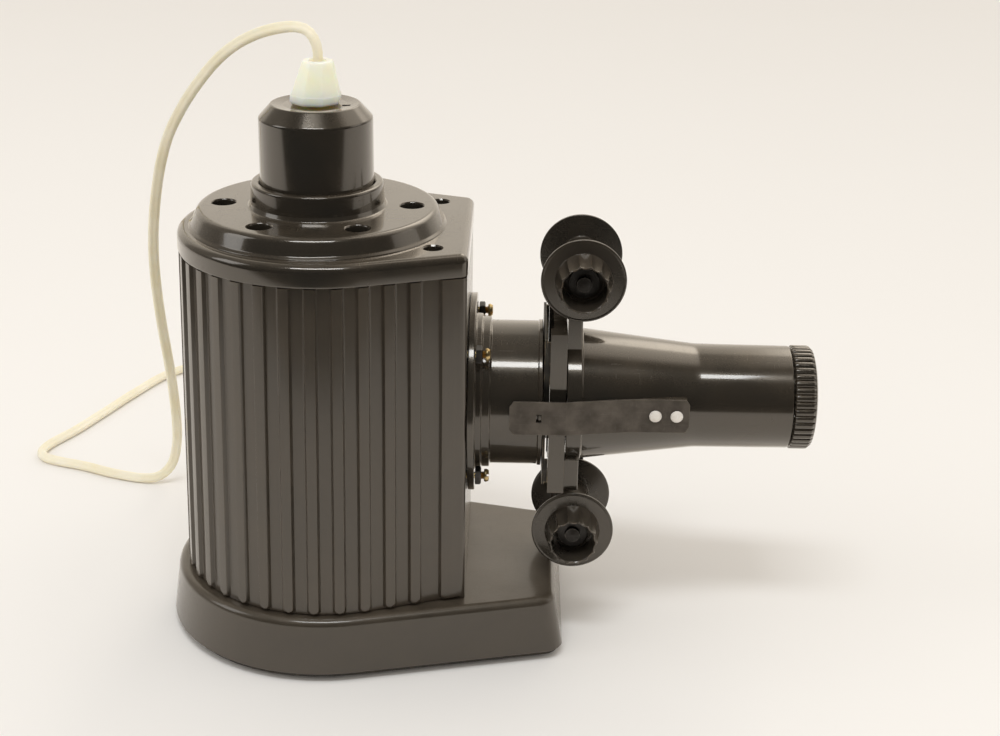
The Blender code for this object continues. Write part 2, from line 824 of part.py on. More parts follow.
CORD_REST = CORD_D / 2 + 0.1
CORD_GRIP_Z = 237.5
CORD_POINT_EVERY = 11.5
CORD_ROUTE = (
    (0.7, 0.0, CORD_GRIP_Z), (1.5, 0.0, 249.5), (0.9, 1.2, 256.6), (-2.2, 3.2, 261.4),
    (-7.2, 5.4, 263.0), (-14.8, 9.2, 261.9), (-24.9, 14.0, 258.4), (-34.9, 19.2, 252.7),
    (-44.6, 25.4, 244.4), (-55.1, 33.6, 232.0), (-64.2, 41.6, 219.0), (-72.0, 49.8, 205.0),
    (-78.2, 58.6, 188.6), (-83.0, 67.2, 171.0), (-86.8, 75.8, 152.5), (-89.2, 84.4, 134.0),
    (-90.4, 93.0, 114.5), (-90.6, 101.0, 94.2), (-90.2, 107.6, 76.0), (-89.8, 112.6, 58.0),
    (-89.8, 116.5, 41.0), (-90.8, 119.6, 26.0), (-94.2, 121.8, 12.6), (-101.0, 122.4, 4.6),
    (-111.0, 122.8, CORD_REST), (-128.0, 128.2, CORD_REST), (-145.0, 136.4, CORD_REST),
    (-160.0, 141.8, CORD_REST), (-168.4, 146.4, CORD_REST), (-172.0, 153.6, CORD_REST),
    (-170.0, 164.4, CORD_REST), (-160.6, 184.0, CORD_REST), (-150.6, 210.0, CORD_REST),
    (-139.4, 240.0, CORD_REST), (-125.0, 271.0, CORD_REST), (-102.0, 290.6, CORD_REST),
    (-70.0, 296.6, CORD_REST), (-36.0, 290.8, CORD_REST), (-14.0, 289.4, CORD_REST),
)


def lifted(spot):
    """A route point raised with the grip; the part on the table stays where it is."""
    x, y, z = spot
    return (x, y, z + (CORD_START_Z - CORD_GRIP_Z) * max(z - CORD_REST, 0) / (CORD_GRIP_Z - CORD_REST))


def smooth_line(spots, spacing):
    """Points about `spacing` apart on the smooth curve through the given ones."""
    spots = [Vector(p) for p in spots]
    ends = [2 * spots[0] - spots[1]] + spots + [2 * spots[-1] - spots[-2]]
    line = []
    for index in range(1, len(ends) - 2):
        p0, p1, p2, p3 = ends[index - 1 : index + 3]
        count = max(1, round((p2 - p1).length / spacing))
        for step in range(count):
            t = step / count
            line.append(0.5 * (
                2 * p1 + (p2 - p0) * t + (2 * p0 - 5 * p1 + 4 * p2 - p3) * t**2
                + (3 * p1 - p0 - 3 * p2 + p3) * t**3
            ))
    line.append(spots[-1])
    return line


cord_line = smooth_line([lifted(spot) for spot in CORD_ROUTE], CORD_POINT_EVERY)
curve = bpy.data.curves.new("cord", "CURVE")
curve.dimensions = "3D"
curve.bevel_depth = CORD_D / 2 * MM
curve.bevel_resolution = 2
curve.use_fill_caps = True
line = curve.splines.new("POLY")
line.points.add(len(cord_line) - 1)
for point, spot in zip(line.points, cord_line):
    point.co = (*at(*spot), 1.0)
cord = bpy.data.objects.new("cord", curve)
bpy.context.scene.collection.objects.link(cord)
finish(cord, "cream_cord")

COIL_AT = (0.0, 255.0, 0.0)
COIL_R = 27.0
COIL_HALF_W = 5.2
COIL_HALF_H = 4.8
coil_mid = COIL_HALF_H + GAP
coil_profile = [
    (coil_mid + rise * COIL_HALF_H, COIL_R + out * COIL_HALF_W)
    for out, rise in ((1, -0.5), (1, 0.5), (0.5, 1), (-0.5, 1), (-1, 0.5), (-1, -0.5), (-0.5, -1), (0.5, -1))
]
turned("cord_coil", "Z", COIL_AT, coil_profile, "cream_cord", 32)

PLUG_AT = (44.0, 255.0, 7.4)
plug = lofted(
    "plug",
    [
        [(x, PLUG_AT[1] + hw * sy, PLUG_AT[2] + hh * sz)
         for sy, sz in ((-1, -0.6), (-0.6, -1), (0.6, -1), (1, -0.6), (1, 0.6), (0.6, 1), (-0.6, 1),
                        (-1, 0.6))]
        for x, hw, hh in ((PLUG_AT[0] - 8, 4, 4), (PLUG_AT[0] + 2, 9, 6.5), (PLUG_AT[0] + 22, 14, 6.8),
                          (PLUG_AT[0] + 27, 13, 6.5))
    ],
    "ivory",
)
for side in (1, -1):
    pin = rod(f"plug_pin_{side}", "X", (0, PLUG_AT[1] + side * 9.0, PLUG_AT[2]), PLUG_AT[0] + 25,
              PLUG_AT[0] + 46, 2.0, None, 16)
    add(plug, pin)

# ---------------------------------------------------------------- condenser

flange_x = HOUSE_FRONT + GAP
tube_bore = TUBE_R - TUBE_WALL
condenser_tube = turned(
    "condenser_tube",
    "X",
    (0, 0, AXIS_Z),
    [(flange_x, FLANGE_BORE_R), (flange_x, FLANGE_R), (flange_x + FLANGE_T, FLANGE_R),
     (flange_x + FLANGE_T, TUBE_FOOT_R), (TUBE_FOOT_END, TUBE_FOOT_R), (TUBE_FOOT_END, TUBE_R),
     (TUBE_END - 1.6, TUBE_R), (TUBE_END - 1.4, TUBE_R + TUBE_BEAD), (TUBE_END, TUBE_R + TUBE_BEAD),
     (TUBE_END, tube_bore), (flange_x + FLANGE_T + 3, tube_bore),
     (flange_x + FLANGE_T + 3, FLANGE_BORE_R)],
    "bakelite",
    44,
)
for side in (1, -1):
    stud = block(
        f"tube_stud_{side}",
        (STUD_X[0], side * TUBE_R - 1.0, SPRING_Z - STUD_HALF),
        (STUD_X[1], side * TUBE_R + 1.0, SPRING_Z + STUD_HALF),
        None,
    )
    add(condenser_tube, stud)

nut_x = flange_x + FLANGE_T + GAP
for index in range(4):
    angle = math.radians(45 + 90 * index)
    centre = (0, BOLT_CIRCLE * math.cos(angle), AXIS_Z + BOLT_CIRCLE * math.sin(angle))
    hole = rod(f"flange_hole_{index}", "X", centre, flange_x - 1, flange_x + FLANGE_T + 1, 1.9, None,
               8)
    cut(condenser_tube, hole)
    clear = rod(f"foot_clear_{index}", "X", centre, flange_x + FLANGE_T + SKIM, TUBE_FOOT_END + 1,
                NUT_ROOM_R, None, 12)
    cut(condenser_tube, clear)
    turned(
        f"condenser_nut_{index + 1}",
        "X",
        centre,
        [(nut_x, 1.9), (nut_x, NUT_HALF), (nut_x + NUT_T, NUT_HALF), (nut_x + NUT_T, 1.9)],
        "dark_steel",
        8,
        lambda k, r, s: r * math.sqrt(2) if r > 3 and s % 2 else r,
    )
    turned(
        f"condenser_screw_{index + 1}",
        "X",
        centre,
        [(HOUSE_FRONT - 8, 0), (HOUSE_FRONT - 8, SCREW_R), (nut_x + 3.3, SCREW_R), (nut_x + 3.4, 2.5),
         (nut_x + 4.7, 2.7), (nut_x + 5.7, 2.1), (nut_x + 6.1, 0)],
        "brass",
        12,
    )

lens_rear = flange_x + FLANGE_T + 3 + GAP


def plano(name, flat, bulge, radius, height, edge, kind="glass"):
    """A plano-convex lens: `flat` is the plane face, `bulge` the way it swells along +X."""
    profile = [(flat, 0), (flat, radius), (flat + bulge * edge, radius)]
    for step in range(1, 6):
        share = step / 5
        profile.append((flat + bulge * (edge + height * (1 - (1 - share) ** 2)), radius * (1 - share)))
    profile[-1] = (profile[-1][0], 0)
    return turned(name, "X", (0, 0, AXIS_Z), profile, kind, 28)


lens_front = lens_rear + CONDENSER_SPAN
plano("condenser_lens_rear", lens_rear, 1, CONDENSER_R, CONDENSER_BULGE, CONDENSER_EDGE)
plano("condenser_lens_front", lens_front, -1, CONDENSER_R, CONDENSER_BULGE, CONDENSER_EDGE)
turned(
    "lens_spacer",
    "X",
    (0, 0, AXIS_Z),
    [(lens_rear + 2.8, CONDENSER_R - 1.6), (lens_rear + 2.8, CONDENSER_R),
     (lens_front - 2.8, CONDENSER_R), (lens_front - 2.8, CONDENSER_R - 1.6)],
    "aluminium",
    28,
)
turned(
    "condenser_ring",
    "X",
    (0, 0, AXIS_Z),
    [(lens_front + GAP, CONDENSER_R - 2.6), (lens_front + GAP, tube_bore - GAP),
     (TUBE_END - 0.6, tube_bore - GAP), (TUBE_END - 0.6, CONDENSER_R - 2.6)],
    "bakelite_worn",
    36,
)

# ---------------------------------------------------------------- film gate

head = bpy.data.objects.new("film_head", None)
head.location = at(TUBE_END, 0, AXIS_Z)
bpy.context.scene.collection.objects.link(head)


def ride(obj, parent):
    """Hangs an object on a parent without moving it."""
    obj.parent = parent
    obj.matrix_parent_inverse = parent.matrix_basis.inverted()


def aperture(name, x0, x1, flare):
    """A through-cut for the picture frame, wider by `flare` at x1."""
    sections = []
    for x, more in ((x0, 0.0), (x1, flare)):
        half_y = FRAME_H / 2 - 6.5 + more
        half_z = FRAME_W / 2 + more
        sections.append(
            [(x, -half_y, AXIS_Z - half_z), (x, half_y, AXIS_Z - half_z), (x, half_y, AXIS_Z + half_z),
             (x, -half_y, AXIS_Z + half_z)]
        )
    return lofted(name, sections, None)


pressure_plate = block(
    "pressure_plate",
    (PRESS_X, -PRESS_HALF_Y, AXIS_Z - PRESS_HALF_Z),
    (PRESS_X + PRESS_T, PRESS_HALF_Y, AXIS_Z + PRESS_HALF_Z),
    "dark_steel",
)
cut(pressure_plate, aperture("press_aperture", PRESS_X - 1, PRESS_X + PRESS_T + 1, 0.5))
ride(pressure_plate, head)

gate_body = block(
    "gate_body",
    (GATE_X, -GATE_HALF_Y, AXIS_Z - GATE_HALF_Z),
    (GATE_X + GATE_T, GATE_HALF_Y, AXIS_Z + GATE_HALF_Z),
    "bakelite",
)
film_channel = block(
    "film_channel",
    (GATE_X - 1, -FILM_W / 2 - 0.4, AXIS_Z - GATE_HALF_Z - 1),
    (GATE_X + 1.4, FILM_W / 2 + 0.4, AXIS_Z + GATE_HALF_Z + 1),
    None,
)
cut(gate_body, film_channel)
cut(gate_body, aperture("gate_aperture", GATE_X - 1, GATE_X + GATE_T + 1, 4.0))
ride(gate_body, head)

# ---------------------------------------------------------------- lens carrier

disc_end = CARRIER_DISC_X + CARRIER_DISC_T
lens_carrier = turned(
    "lens_carrier",
    "X",
    (0, 0, AXIS_Z),
    [(CARRIER_DISC_X, CARRIER_BORE_R), (CARRIER_DISC_X, CARRIER_DISC_R), (disc_end, CARRIER_DISC_R),
     (disc_end + 0.3, CONE_R), (CONE_END - 12, BARREL_R + 1.2), (CONE_END - 2, BARREL_R + 0.25),
     (CONE_END + 6, BARREL_R), (BARREL_END, BARREL_R), (BARREL_END, OBJECTIVE_R + GAP),
     (CONE_END - 4, OBJECTIVE_R + GAP), (disc_end + 4, CONE_R - CARRIER_WALL - 0.6)],
    "bakelite",
    44,
)
for end, name in ((1, "upper"), (-1, "lower")):
    low = AXIS_Z + end * TONGUE_IN
    high = AXIS_Z + end * TONGUE_OUT
    tongue = block(
        f"carrier_tongue_{name}",
        (CARRIER_DISC_X, -TONGUE_HALF, min(low, high)),
        (disc_end - 0.2, TONGUE_HALF, max(low, high)),
        None,
    )
    add(lens_carrier, tongue)
ride(lens_carrier, head)

# ---------------------------------------------------------------- leaf springs

SPRING_BENDS = (
    (SPRING_START, SPRING_Y),
    (SPRING_START + 22, SPRING_Y),
    (RIVET_X[0] - 14, SPRING_Y - 4.4),
    (RIVET_X[0] - 6, SPRING_Y - SPRING_SET),
    (SPRING_END, SPRING_Y - SPRING_SET),
)
PAD_Y = SPRING_Y - SPRING_SET - SPRING_T / 2 - GAP
for side, name in ((-1, "near"), (1, "far")):
    sections = []
    for index, (x, y) in enumerate(SPRING_BENDS):
        half = SPRING_H / 2
        section = []
        for dy, dz in ((-1, -1), (1, -1), (1, 1), (-1, 1)):
            section.append((x, side * y + dy * SPRING_T / 2, SPRING_Z + dz * half))
        sections.append(section)
    for tip, bend, pull in ((0, 0, 1), (len(sections), len(SPRING_BENDS) - 1, -1)):
        x, y = SPRING_BENDS[bend]
        end = [
            (x - pull * SPRING_TIP, side * y + dy * SPRING_T / 2, SPRING_Z + dz * (SPRING_H / 2 - 2.4))
            for dy, dz in ((-1, -1), (1, -1), (1, 1), (-1, 1))
        ]
        sections.insert(tip if tip == 0 else len(sections), end)
    spring = lofted(
        f"leaf_spring_{name}",
        sections,
        "brown_steel",
        (RIVET_X[0], side * (SPRING_Y - SPRING_SET), SPRING_Z),
    )
    slot = block(
        f"spring_slot_{name}",
        (STUD_X[0] - GAP, side * SPRING_Y - 2, SPRING_Z - STUD_HALF - GAP),
        (STUD_X[1] + GAP, side * SPRING_Y + 2, SPRING_Z + STUD_HALF + GAP),
        None,
    )
    cut(spring, slot)
    pad = block(
        f"spring_pad_{name}",
        (RIVET_X[0] - 6, min(side * 21, side * PAD_Y), SPRING_Z - SPRING_H / 2 + 1),
        (SPRING_END - 1, max(side * 21, side * PAD_Y), SPRING_Z + SPRING_H / 2 - 1),
        None,
    )
    add(lens_carrier, pad)
    ride(spring, head)
    for index, x in enumerate(RIVET_X):
        centre = (x, 0, SPRING_Z)
        face = side * (SPRING_Y - SPRING_SET + SPRING_T / 2)
        hole = rod(f"rivet_hole_{name}_{index}", "Y", centre, face - side * 9, face + side * 1,
                   SCREW_R + GAP, None, 14)
        cut(spring, hole)
        cut(lens_carrier, hole)
        rivet = turned(
            f"rivet_{name}_{index + 1}",
            "Y",
            centre,
            [(face - side * 8, 0), (face - side * 8, SCREW_R), (face + side * GAP, SCREW_R),
             (face + side * GAP, RIVET_R), (face + side * 0.9, RIVET_R * 0.86),
             (face + side * 1.4, RIVET_R * 0.45), (face + side * 1.5, 0)],
            "aluminium",
            14,
        )
        ride(rivet, head)

# ---------------------------------------------------------------- objective

objective = turned(
    "objective_tube",
    "X",
    (BARREL_END, 0, AXIS_Z),
    [(OBJECTIVE_REAR - BARREL_END, OBJECTIVE_R - 1.8), (OBJECTIVE_REAR - BARREL_END, OBJECTIVE_R),
     (GAP + 0.2, OBJECTIVE_R), (GAP + 0.2, BARREL_R - 0.6), (1.4, BARREL_R + 0.3),
     (KNURL_END - BARREL_END - 2.2, BARREL_R + 0.3), (KNURL_END - BARREL_END - 0.6, BARREL_R - 0.8),
     (KNURL_END - BARREL_END, BARREL_R - 2.6), (KNURL_END - BARREL_END, OBJECTIVE_R - 1.2),
     (KNURL_END - BARREL_END - 4, OBJECTIVE_R - 1.8)],
    "bakelite",
    KNURL_COUNT * 2,
    lambda k, r, s: r - 0.7 if k in (4, 5) and s % 2 else r,
)
ride(objective, head)
LENS_R = OBJECTIVE_R - 1.8 - GAP
front_lens_x = KNURL_END - 8.4


def meniscus(name, x, radius, front_bulge, back_bulge, edge):
    profile = []
    for step in range(5):
        share = step / 4
        profile.append((x - back_bulge * (1 - share * share), radius * share))
    for step in range(4, -1, -1):
        share = step / 4
        profile.append((x + edge + front_bulge * (1 - share * share), radius * share))
    return turned(name, "X", (0, 0, AXIS_Z), profile, "glass", 24)


front_lens = meniscus("objective_lens_front", front_lens_x, LENS_R, 2.6, -0.8, 2.2)
rear_lens = meniscus("objective_lens_rear", OBJECTIVE_REAR + 4, LENS_R, 1.2, 2.4, 1.8)
lens_sleeve = turned(
    "objective_sleeve",
    "X",
    (0, 0, AXIS_Z),
    [(OBJECTIVE_REAR + 4 + 1.8 + GAP, LENS_R - 1.4), (OBJECTIVE_REAR + 4 + 1.8 + GAP, LENS_R),
     (front_lens_x - GAP, LENS_R), (front_lens_x - GAP, LENS_R - 1.4)],
    "bakelite_worn",
    28,
)
retaining_ring = turned(
    "objective_ring",
    "X",
    (0, 0, AXIS_Z),
    [(front_lens_x + 3.2, LENS_R - 1.6), (front_lens_x + 3.2, LENS_R),
     (front_lens_x + 4.8, LENS_R), (front_lens_x + 4.8, LENS_R - 1.2)],
    "bakelite_worn",
    28,
)
for piece in (front_lens, rear_lens, lens_sleeve, retaining_ring):
    ride(piece, head)

# ---------------------------------------------------------------- spool bracket and spools

STRIP_T = 2.0
strip_y = GATE_HALF_Y + GAP
ear_y = SPOOL_HALF + 0.8
spool_bracket = block(
    "spool_bracket",
    (GATE_X + 0.4, strip_y, AXIS_Z - GATE_HALF_Z - 4.5),
    (GATE_X + 6.6, strip_y + STRIP_T, AXIS_Z + GATE_HALF_Z + 4.5),
    "dark_steel",
)
for end, x, z, name in ((1, SPOOL_X_TOP, SPOOL_Z_TOP, "top"), (-1, SPOOL_X_LOW, SPOOL_Z_LOW, "low")):
    edge = AXIS_Z + end * (GATE_HALF_Z + 2.2)
    joggle = block(
        f"bracket_joggle_{name}",
        (GATE_X + 0.6, ear_y + 0.1, min(edge, edge + end * 2.0)),
        (GATE_X + 6.4, strip_y + STRIP_T - 0.1, max(edge, edge + end * 2.0)),
        None,
    )
    add(spool_bracket, joggle)
    ear = block(
        f"bracket_ear_{name}",
        (GATE_X + 0.8, ear_y, min(edge + end * 0.2, z - end * 1)),
        (x + 5.5, ear_y + STRIP_T, max(edge + end * 0.2, z - end * 1)),
        None,
    )
    add(spool_bracket, ear)
    eye = rod(f"bracket_eye_{name}", "Y", (x, 0, z), ear_y - 0.2, ear_y + STRIP_T + 0.3, AXLE_EYE_R,
              None, 20)
    add(spool_bracket, eye)
    axle = turned(
        f"bracket_axle_{name}",
        "Y",
        (x, 0, z),
        [(ear_y + STRIP_T + 1.0, 0), (ear_y + STRIP_T + 1.0, AXLE_R), (-SPOOL_HALF - 1.0, AXLE_R),
         (-SPOOL_HALF - 1.0, 0)],
        None,
        14,
    )
    add(spool_bracket, axle)
ride(spool_bracket, head)
for index, end in enumerate((1, -1)):
    centre = (GATE_X + 3.5, 0, AXIS_Z + end * 26)
    hole = rod(f"strip_hole_{index}", "Y", centre, strip_y - 8, strip_y + STRIP_T + 1, SCREW_R + GAP,
               None, 14)
    cut(spool_bracket, hole)
    cut(gate_body, hole)
    screw = turned(
        f"bracket_screw_{index + 1}",
        "Y",
        centre,
        [(strip_y - 7, 0), (strip_y - 7, SCREW_R), (strip_y + STRIP_T + GAP, SCREW_R),
         (strip_y + STRIP_T + GAP, 2.7), (strip_y + STRIP_T + 1.3, 2.6), (strip_y + STRIP_T + 1.9, 1.8),
         (strip_y + STRIP_T + 2.0, 0)],
        "dark_steel",
        12,
    )
    ride(screw, head)

FLANGE_IN = SPOOL_HALF - SPOOL_FLANGE_T
BORE = AXLE_R + GAP


def fluted(k, r, s):
    return r - 0.75 if k in (4, 5) and s % 2 else r


for x, z, name in ((SPOOL_X_TOP, SPOOL_Z_TOP, "top"), (SPOOL_X_LOW, SPOOL_Z_LOW, "bottom")):
    spool = turned(
        f"{name}_spool",
        "Y",
        (x, 0, z),
        [
            (-SPOOL_HALF + 2, BORE), (-SPOOL_HALF + 2, KNOB_BORE_R),
            (-SPOOL_HALF - KNOB_L + 0.6, KNOB_BORE_R), (-SPOOL_HALF - KNOB_L, KNOB_BORE_R + 0.5),
            (-SPOOL_HALF - KNOB_L + 0.5, KNOB_END_R), (-SPOOL_HALF, KNOB_R),
            (-SPOOL_HALF, SPOOL_R - 0.3), (-SPOOL_HALF + 0.4, SPOOL_R),
            (-FLANGE_IN - 0.4, SPOOL_R), (-FLANGE_IN, SPOOL_R - 0.3), (-FLANGE_IN, SPOOL_CORE_R),
            (FLANGE_IN, SPOOL_CORE_R), (FLANGE_IN, SPOOL_R - 0.3), (FLANGE_IN + 0.4, SPOOL_R),
            (SPOOL_HALF - 0.4, SPOOL_R), (SPOOL_HALF, SPOOL_R - 0.3), (SPOOL_HALF, BORE),
        ],
        "bakelite",
        KNOB_FLUTES * 2,
        fluted,
    )
    slit = block(
        f"{name}_spool_slit",
        (x - 4.2, -FLANGE_IN + 2, z + AXLE_R + 1.4),
        (x - 3.0, FLANGE_IN - 2, z + SPOOL_CORE_R + 2),
        None,
    )
    cut(spool, slit)
    ride(spool, head)
    clip = turned(
        f"{name}_spool_clip",
        "Y",
        (x, 0, z),
        [(-SPOOL_HALF - 1.0 - GAP, 0), (-SPOOL_HALF - 1.0 - GAP, 6.4), (-SPOOL_HALF - 2.2 - GAP, 6.4),
         (-SPOOL_HALF - 2.4 - GAP, 3.4), (-SPOOL_HALF - 4.4 - GAP, 3.2), (-SPOOL_HALF - 4.6 - GAP, 0)],
        "dark_steel",
        16,
    )
    ride(clip, head)
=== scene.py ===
"""Looks for the filmstrip projector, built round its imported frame.

Pieces are modelled in millimetres from the lamp's upright axis and put into the frame by `placed`. Their
main sizes come from the CAD nodes' boxes, so that each keeps to the solid it stands for.
"""

import math

import bmesh
import bpy
from mathutils import Matrix, Vector


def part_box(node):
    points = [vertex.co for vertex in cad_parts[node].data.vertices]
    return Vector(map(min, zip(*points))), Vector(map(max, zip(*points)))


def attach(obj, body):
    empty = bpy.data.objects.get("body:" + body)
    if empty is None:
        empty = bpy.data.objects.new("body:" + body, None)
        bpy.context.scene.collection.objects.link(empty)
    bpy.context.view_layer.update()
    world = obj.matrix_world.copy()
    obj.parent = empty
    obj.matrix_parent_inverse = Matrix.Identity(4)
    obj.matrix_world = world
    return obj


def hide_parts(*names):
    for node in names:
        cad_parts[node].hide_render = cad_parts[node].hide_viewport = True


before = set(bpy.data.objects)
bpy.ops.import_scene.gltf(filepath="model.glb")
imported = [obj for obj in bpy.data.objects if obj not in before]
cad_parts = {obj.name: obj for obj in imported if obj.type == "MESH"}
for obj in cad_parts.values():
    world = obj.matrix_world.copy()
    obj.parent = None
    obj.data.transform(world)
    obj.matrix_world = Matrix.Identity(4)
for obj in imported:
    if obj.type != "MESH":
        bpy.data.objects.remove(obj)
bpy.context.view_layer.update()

MM = 0.001
TAU = 2 * math.pi
TINY = 1e-6
SHARP = 34.0
BEVEL_ANGLE = 35.0


# ---------------------------------------------------------------- measures taken from the frame


def middle(node):
    low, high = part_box(node)
    return (low + high) / 2


LAMP_X = middle("lampholder_body").x


def extent(node):
    """A CAD node's lowest and highest corner, in millimetres from the lamp axis."""
    shift = Vector((LAMP_X, 0, 0))
    return tuple((corner - shift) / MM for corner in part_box(node))


def centre_of(node):
    """A CAD node's middle, in millimetres from the lamp axis."""
    return (middle(node) - Vector((LAMP_X, 0, 0))) / MM


def placed(point):
    """A point in millimetres from the lamp axis, put into the frame."""
    return Vector((point[0] * MM + LAMP_X, point[1] * MM, point[2] * MM))


AXIS_Z = middle("condenser_tube").z / MM
BASE_LOW, BASE_HIGH = extent("base_shell")
HOUSE_LOW, HOUSE_HIGH = extent("lamp_house")
CAP_LOW, CAP_HIGH = extent("top_cap")
HOLDER_LOW, HOLDER_HIGH = extent("lampholder_body")
GRIP_LOW, GRIP_HIGH = extent("cord_grip")
TUBE_LOW, TUBE_HIGH = extent("condenser_tube")
CARRIER_LOW = extent("lens_carrier")[0]
OBJECTIVE_LOW, OBJECTIVE_HIGH = extent("objective_tube")

# ---------------------------------------------------------------- camera

CAMERA_AT = (0.011069, -0.69623, 0.392842)
CAMERA_AZIMUTH = math.radians(0.486)
CAMERA_DOWN = math.radians(21.586)
CAMERA_ROLL = math.radians(0.925)
CAMERA_LENS = 61.9
CAMERA_SENSOR = 36.0


def make_camera():
    """The camera looks along +Y and down, turned a little about its own axis."""
    back = Vector((
        math.sin(CAMERA_AZIMUTH) * math.cos(CAMERA_DOWN),
        -math.cos(CAMERA_AZIMUTH) * math.cos(CAMERA_DOWN),
        math.sin(CAMERA_DOWN),
    ))
    level = Vector((math.cos(CAMERA_AZIMUTH), math.sin(CAMERA_AZIMUTH), 0))
    upright = back.cross(level)
    right = math.cos(CAMERA_ROLL) * level + math.sin(CAMERA_ROLL) * upright
    up = math.cos(CAMERA_ROLL) * upright - math.sin(CAMERA_ROLL) * level
    data = bpy.data.cameras.new("camera")
    data.lens = CAMERA_LENS
    data.sensor_width = CAMERA_SENSOR
    data.clip_start = 0.01
    data.clip_end = 20.0
    camera = bpy.data.objects.new("camera", data)
    bpy.context.scene.collection.objects.link(camera)
    camera.matrix_world = Matrix.Translation(CAMERA_AT) @ Matrix((right, up, back)).transposed().to_4x4()
    bpy.context.scene.camera = camera


make_camera()

# ---------------------------------------------------------------- shader groups


def node(tree, kind, **settings):
    made = tree.nodes.new("ShaderNode" + kind)
    for key, value in settings.items():
        setattr(made, key, value)
    return made


def feed(tree, target, source):
    """Links a socket to an input, or sets the input to a plain value."""
    if isinstance(source, bpy.types.NodeSocket):
        tree.links.new(source, target)
    else:
        target.default_value = source


def math_node(tree, operation, first, second=0.0, clamp=False):
    made = node(tree, "Math", operation=operation, use_clamp=clamp)
    feed(tree, made.inputs[0], first)
    feed(tree, made.inputs[1], second)
    return made.outputs[0]


def mapped(tree, value, low, high, to_low=0.0, to_high=1.0):
    made = node(tree, "MapRange", clamp=True)
    for socket, source in zip(made.inputs, (value, low, high, to_low, to_high)):
        feed(tree, socket, source)
    return made.outputs[0]


def noise(tree, scale, stretch=None, detail=4.0, roughness=0.55):
    """A noise value in the piece's own coordinates; `stretch` scales the axes before it is read."""
    place = node(tree, "TexCoord").outputs["Object"]
    if stretch:
        mapping = node(tree, "Mapping")
        mapping.inputs["Scale"].default_value = stretch
        feed(tree, mapping.inputs["Vector"], place)
        place = mapping.outputs["Vector"]
    made = node(tree, "TexNoise")
    feed(tree, made.inputs["Vector"], place)
    feed(tree, made.inputs["Scale"], scale)
    made.inputs["Detail"].default_value = detail
    made.inputs["Roughness"].default_value = roughness
    return made.outputs[0]


def new_group(name, inputs, outputs):
    tree = bpy.data.node_groups.new(name, "ShaderNodeTree")
    for label, kind, value in inputs:
        socket = tree.interface.new_socket(label, in_out="INPUT", socket_type="NodeSocket" + kind)
        socket.default_value = value
    for label, kind in outputs:
        tree.interface.new_socket(label, in_out="OUTPUT", socket_type="NodeSocket" + kind)
    return tree, tree.nodes.new("NodeGroupInput").outputs, tree.nodes.new("NodeGroupOutput").inputs


def settled_dust():
    """A mask of dust that lies on upward faces in soft patches; it also serves as a painted highlight that
    makes upward faces lighter, for the bright surroundings they reflect.
    """
    tree, given, out = new_group(
        "settled_dust", [("Amount", "Float", 0.3), ("Patch Scale", "Float", 60.0)], [("Mask", "Float")]
    )
    facing = node(tree, "SeparateXYZ")
    feed(tree, facing.inputs[0], node(tree, "TexCoord").outputs["Normal"])
    # Upward faces get the most: real settled dust, and also a painted highlight where tops reflect the bright
    # surroundings.
    upward = mapped(tree, facing.outputs["Z"], 0.25, 1.0)
    patches = mapped(tree, noise(tree, given["Patch Scale"]), 0.3, 0.7, 0.35, 1.0)
    specks = mapped(tree, noise(tree, 1400.0, detail=2.0), 0.52, 0.75, 0.75, 1.25)
    spread = math_node(tree, "MULTIPLY", math_node(tree, "MULTIPLY", upward, patches), specks)
    feed(tree, out["Mask"], math_node(tree, "MULTIPLY", spread, given["Amount"], clamp=True))
    return tree


def edge_rub():
    """A mask of worn corners, broken up by noise."""
    tree, given, out = new_group(
        "edge_rub",
        [("Width", "Float", 0.0008), ("Amount", "Float", 0.6), ("Break Scale", "Float", 220.0)],
        [("Mask", "Float")],
    )
    soft = node(tree, "Bevel", samples=4)
    feed(tree, soft.inputs["Radius"], given["Width"])
    alike = node(tree, "VectorMath", operation="DOT_PRODUCT")
    feed(tree, alike.inputs[0], soft.outputs[0])
    feed(tree, alike.inputs[1], node(tree, "NewGeometry").outputs["Normal"])
    corner = mapped(tree, alike.outputs["Value"], 0.995, 0.86)
    broken = mapped(tree, noise(tree, given["Break Scale"]), 0.42, 0.62)
    worn = math_node(tree, "MULTIPLY", corner, broken)
    feed(tree, out["Mask"], math_node(tree, "MULTIPLY", worn, given["Amount"], clamp=True))
    return tree


def hairlines():
    """Fine handling scratches in two directions, as a mask."""
    tree, given, out = new_group("hairlines", [("Amount", "Float", 0.5)], [("Mask", "Float")])
    lines = []
    for stretch in ((30.0, 420.0, 900.0), (800.0, 60.0, 260.0)):
        lines.append(mapped(tree, noise(tree, 1.0, stretch, 3.0, 0.6), 0.60, 0.70))
    both = math_node(tree, "MAXIMUM", lines[0], lines[1])
    feed(tree, out["Mask"], math_node(tree, "MULTIPLY", both, given["Amount"]))
    return tree


def moulded_grain():
    """The slight unevenness of a moulded surface: a height, and a slow cloud for colour and gloss."""
    tree, given, out = new_group(
        "moulded_grain",
        [("Scale", "Float", 900.0), ("Streak", "Float", 0.0)],
        [("Height", "Float"), ("Cloud", "Float")],
    )
    fine = noise(tree, given["Scale"], detail=3.0)
    wavy = noise(tree, 70.0, detail=2.0)
    streaks = noise(tree, 1.0, (420.0, 420.0, 9.0), 4.0, 0.65)
    height = math_node(tree, "ADD", math_node(tree, "MULTIPLY", fine, 0.35), wavy)
    shift = math_node(tree, "MULTIPLY", math_node(tree, "SUBTRACT", streaks, 0.5), given["Streak"])
    feed(tree, out["Height"], math_node(tree, "ADD", height, shift))
    feed(tree, out["Cloud"], math_node(tree, "ADD", noise(tree, 34.0), shift, clamp=True))
    return tree


GROUPS = {
    "dust": settled_dust(),
    "rub": edge_rub(),
    "hairlines": hairlines(),
    "grain": moulded_grain(),
}

# ---------------------------------------------------------------- materials


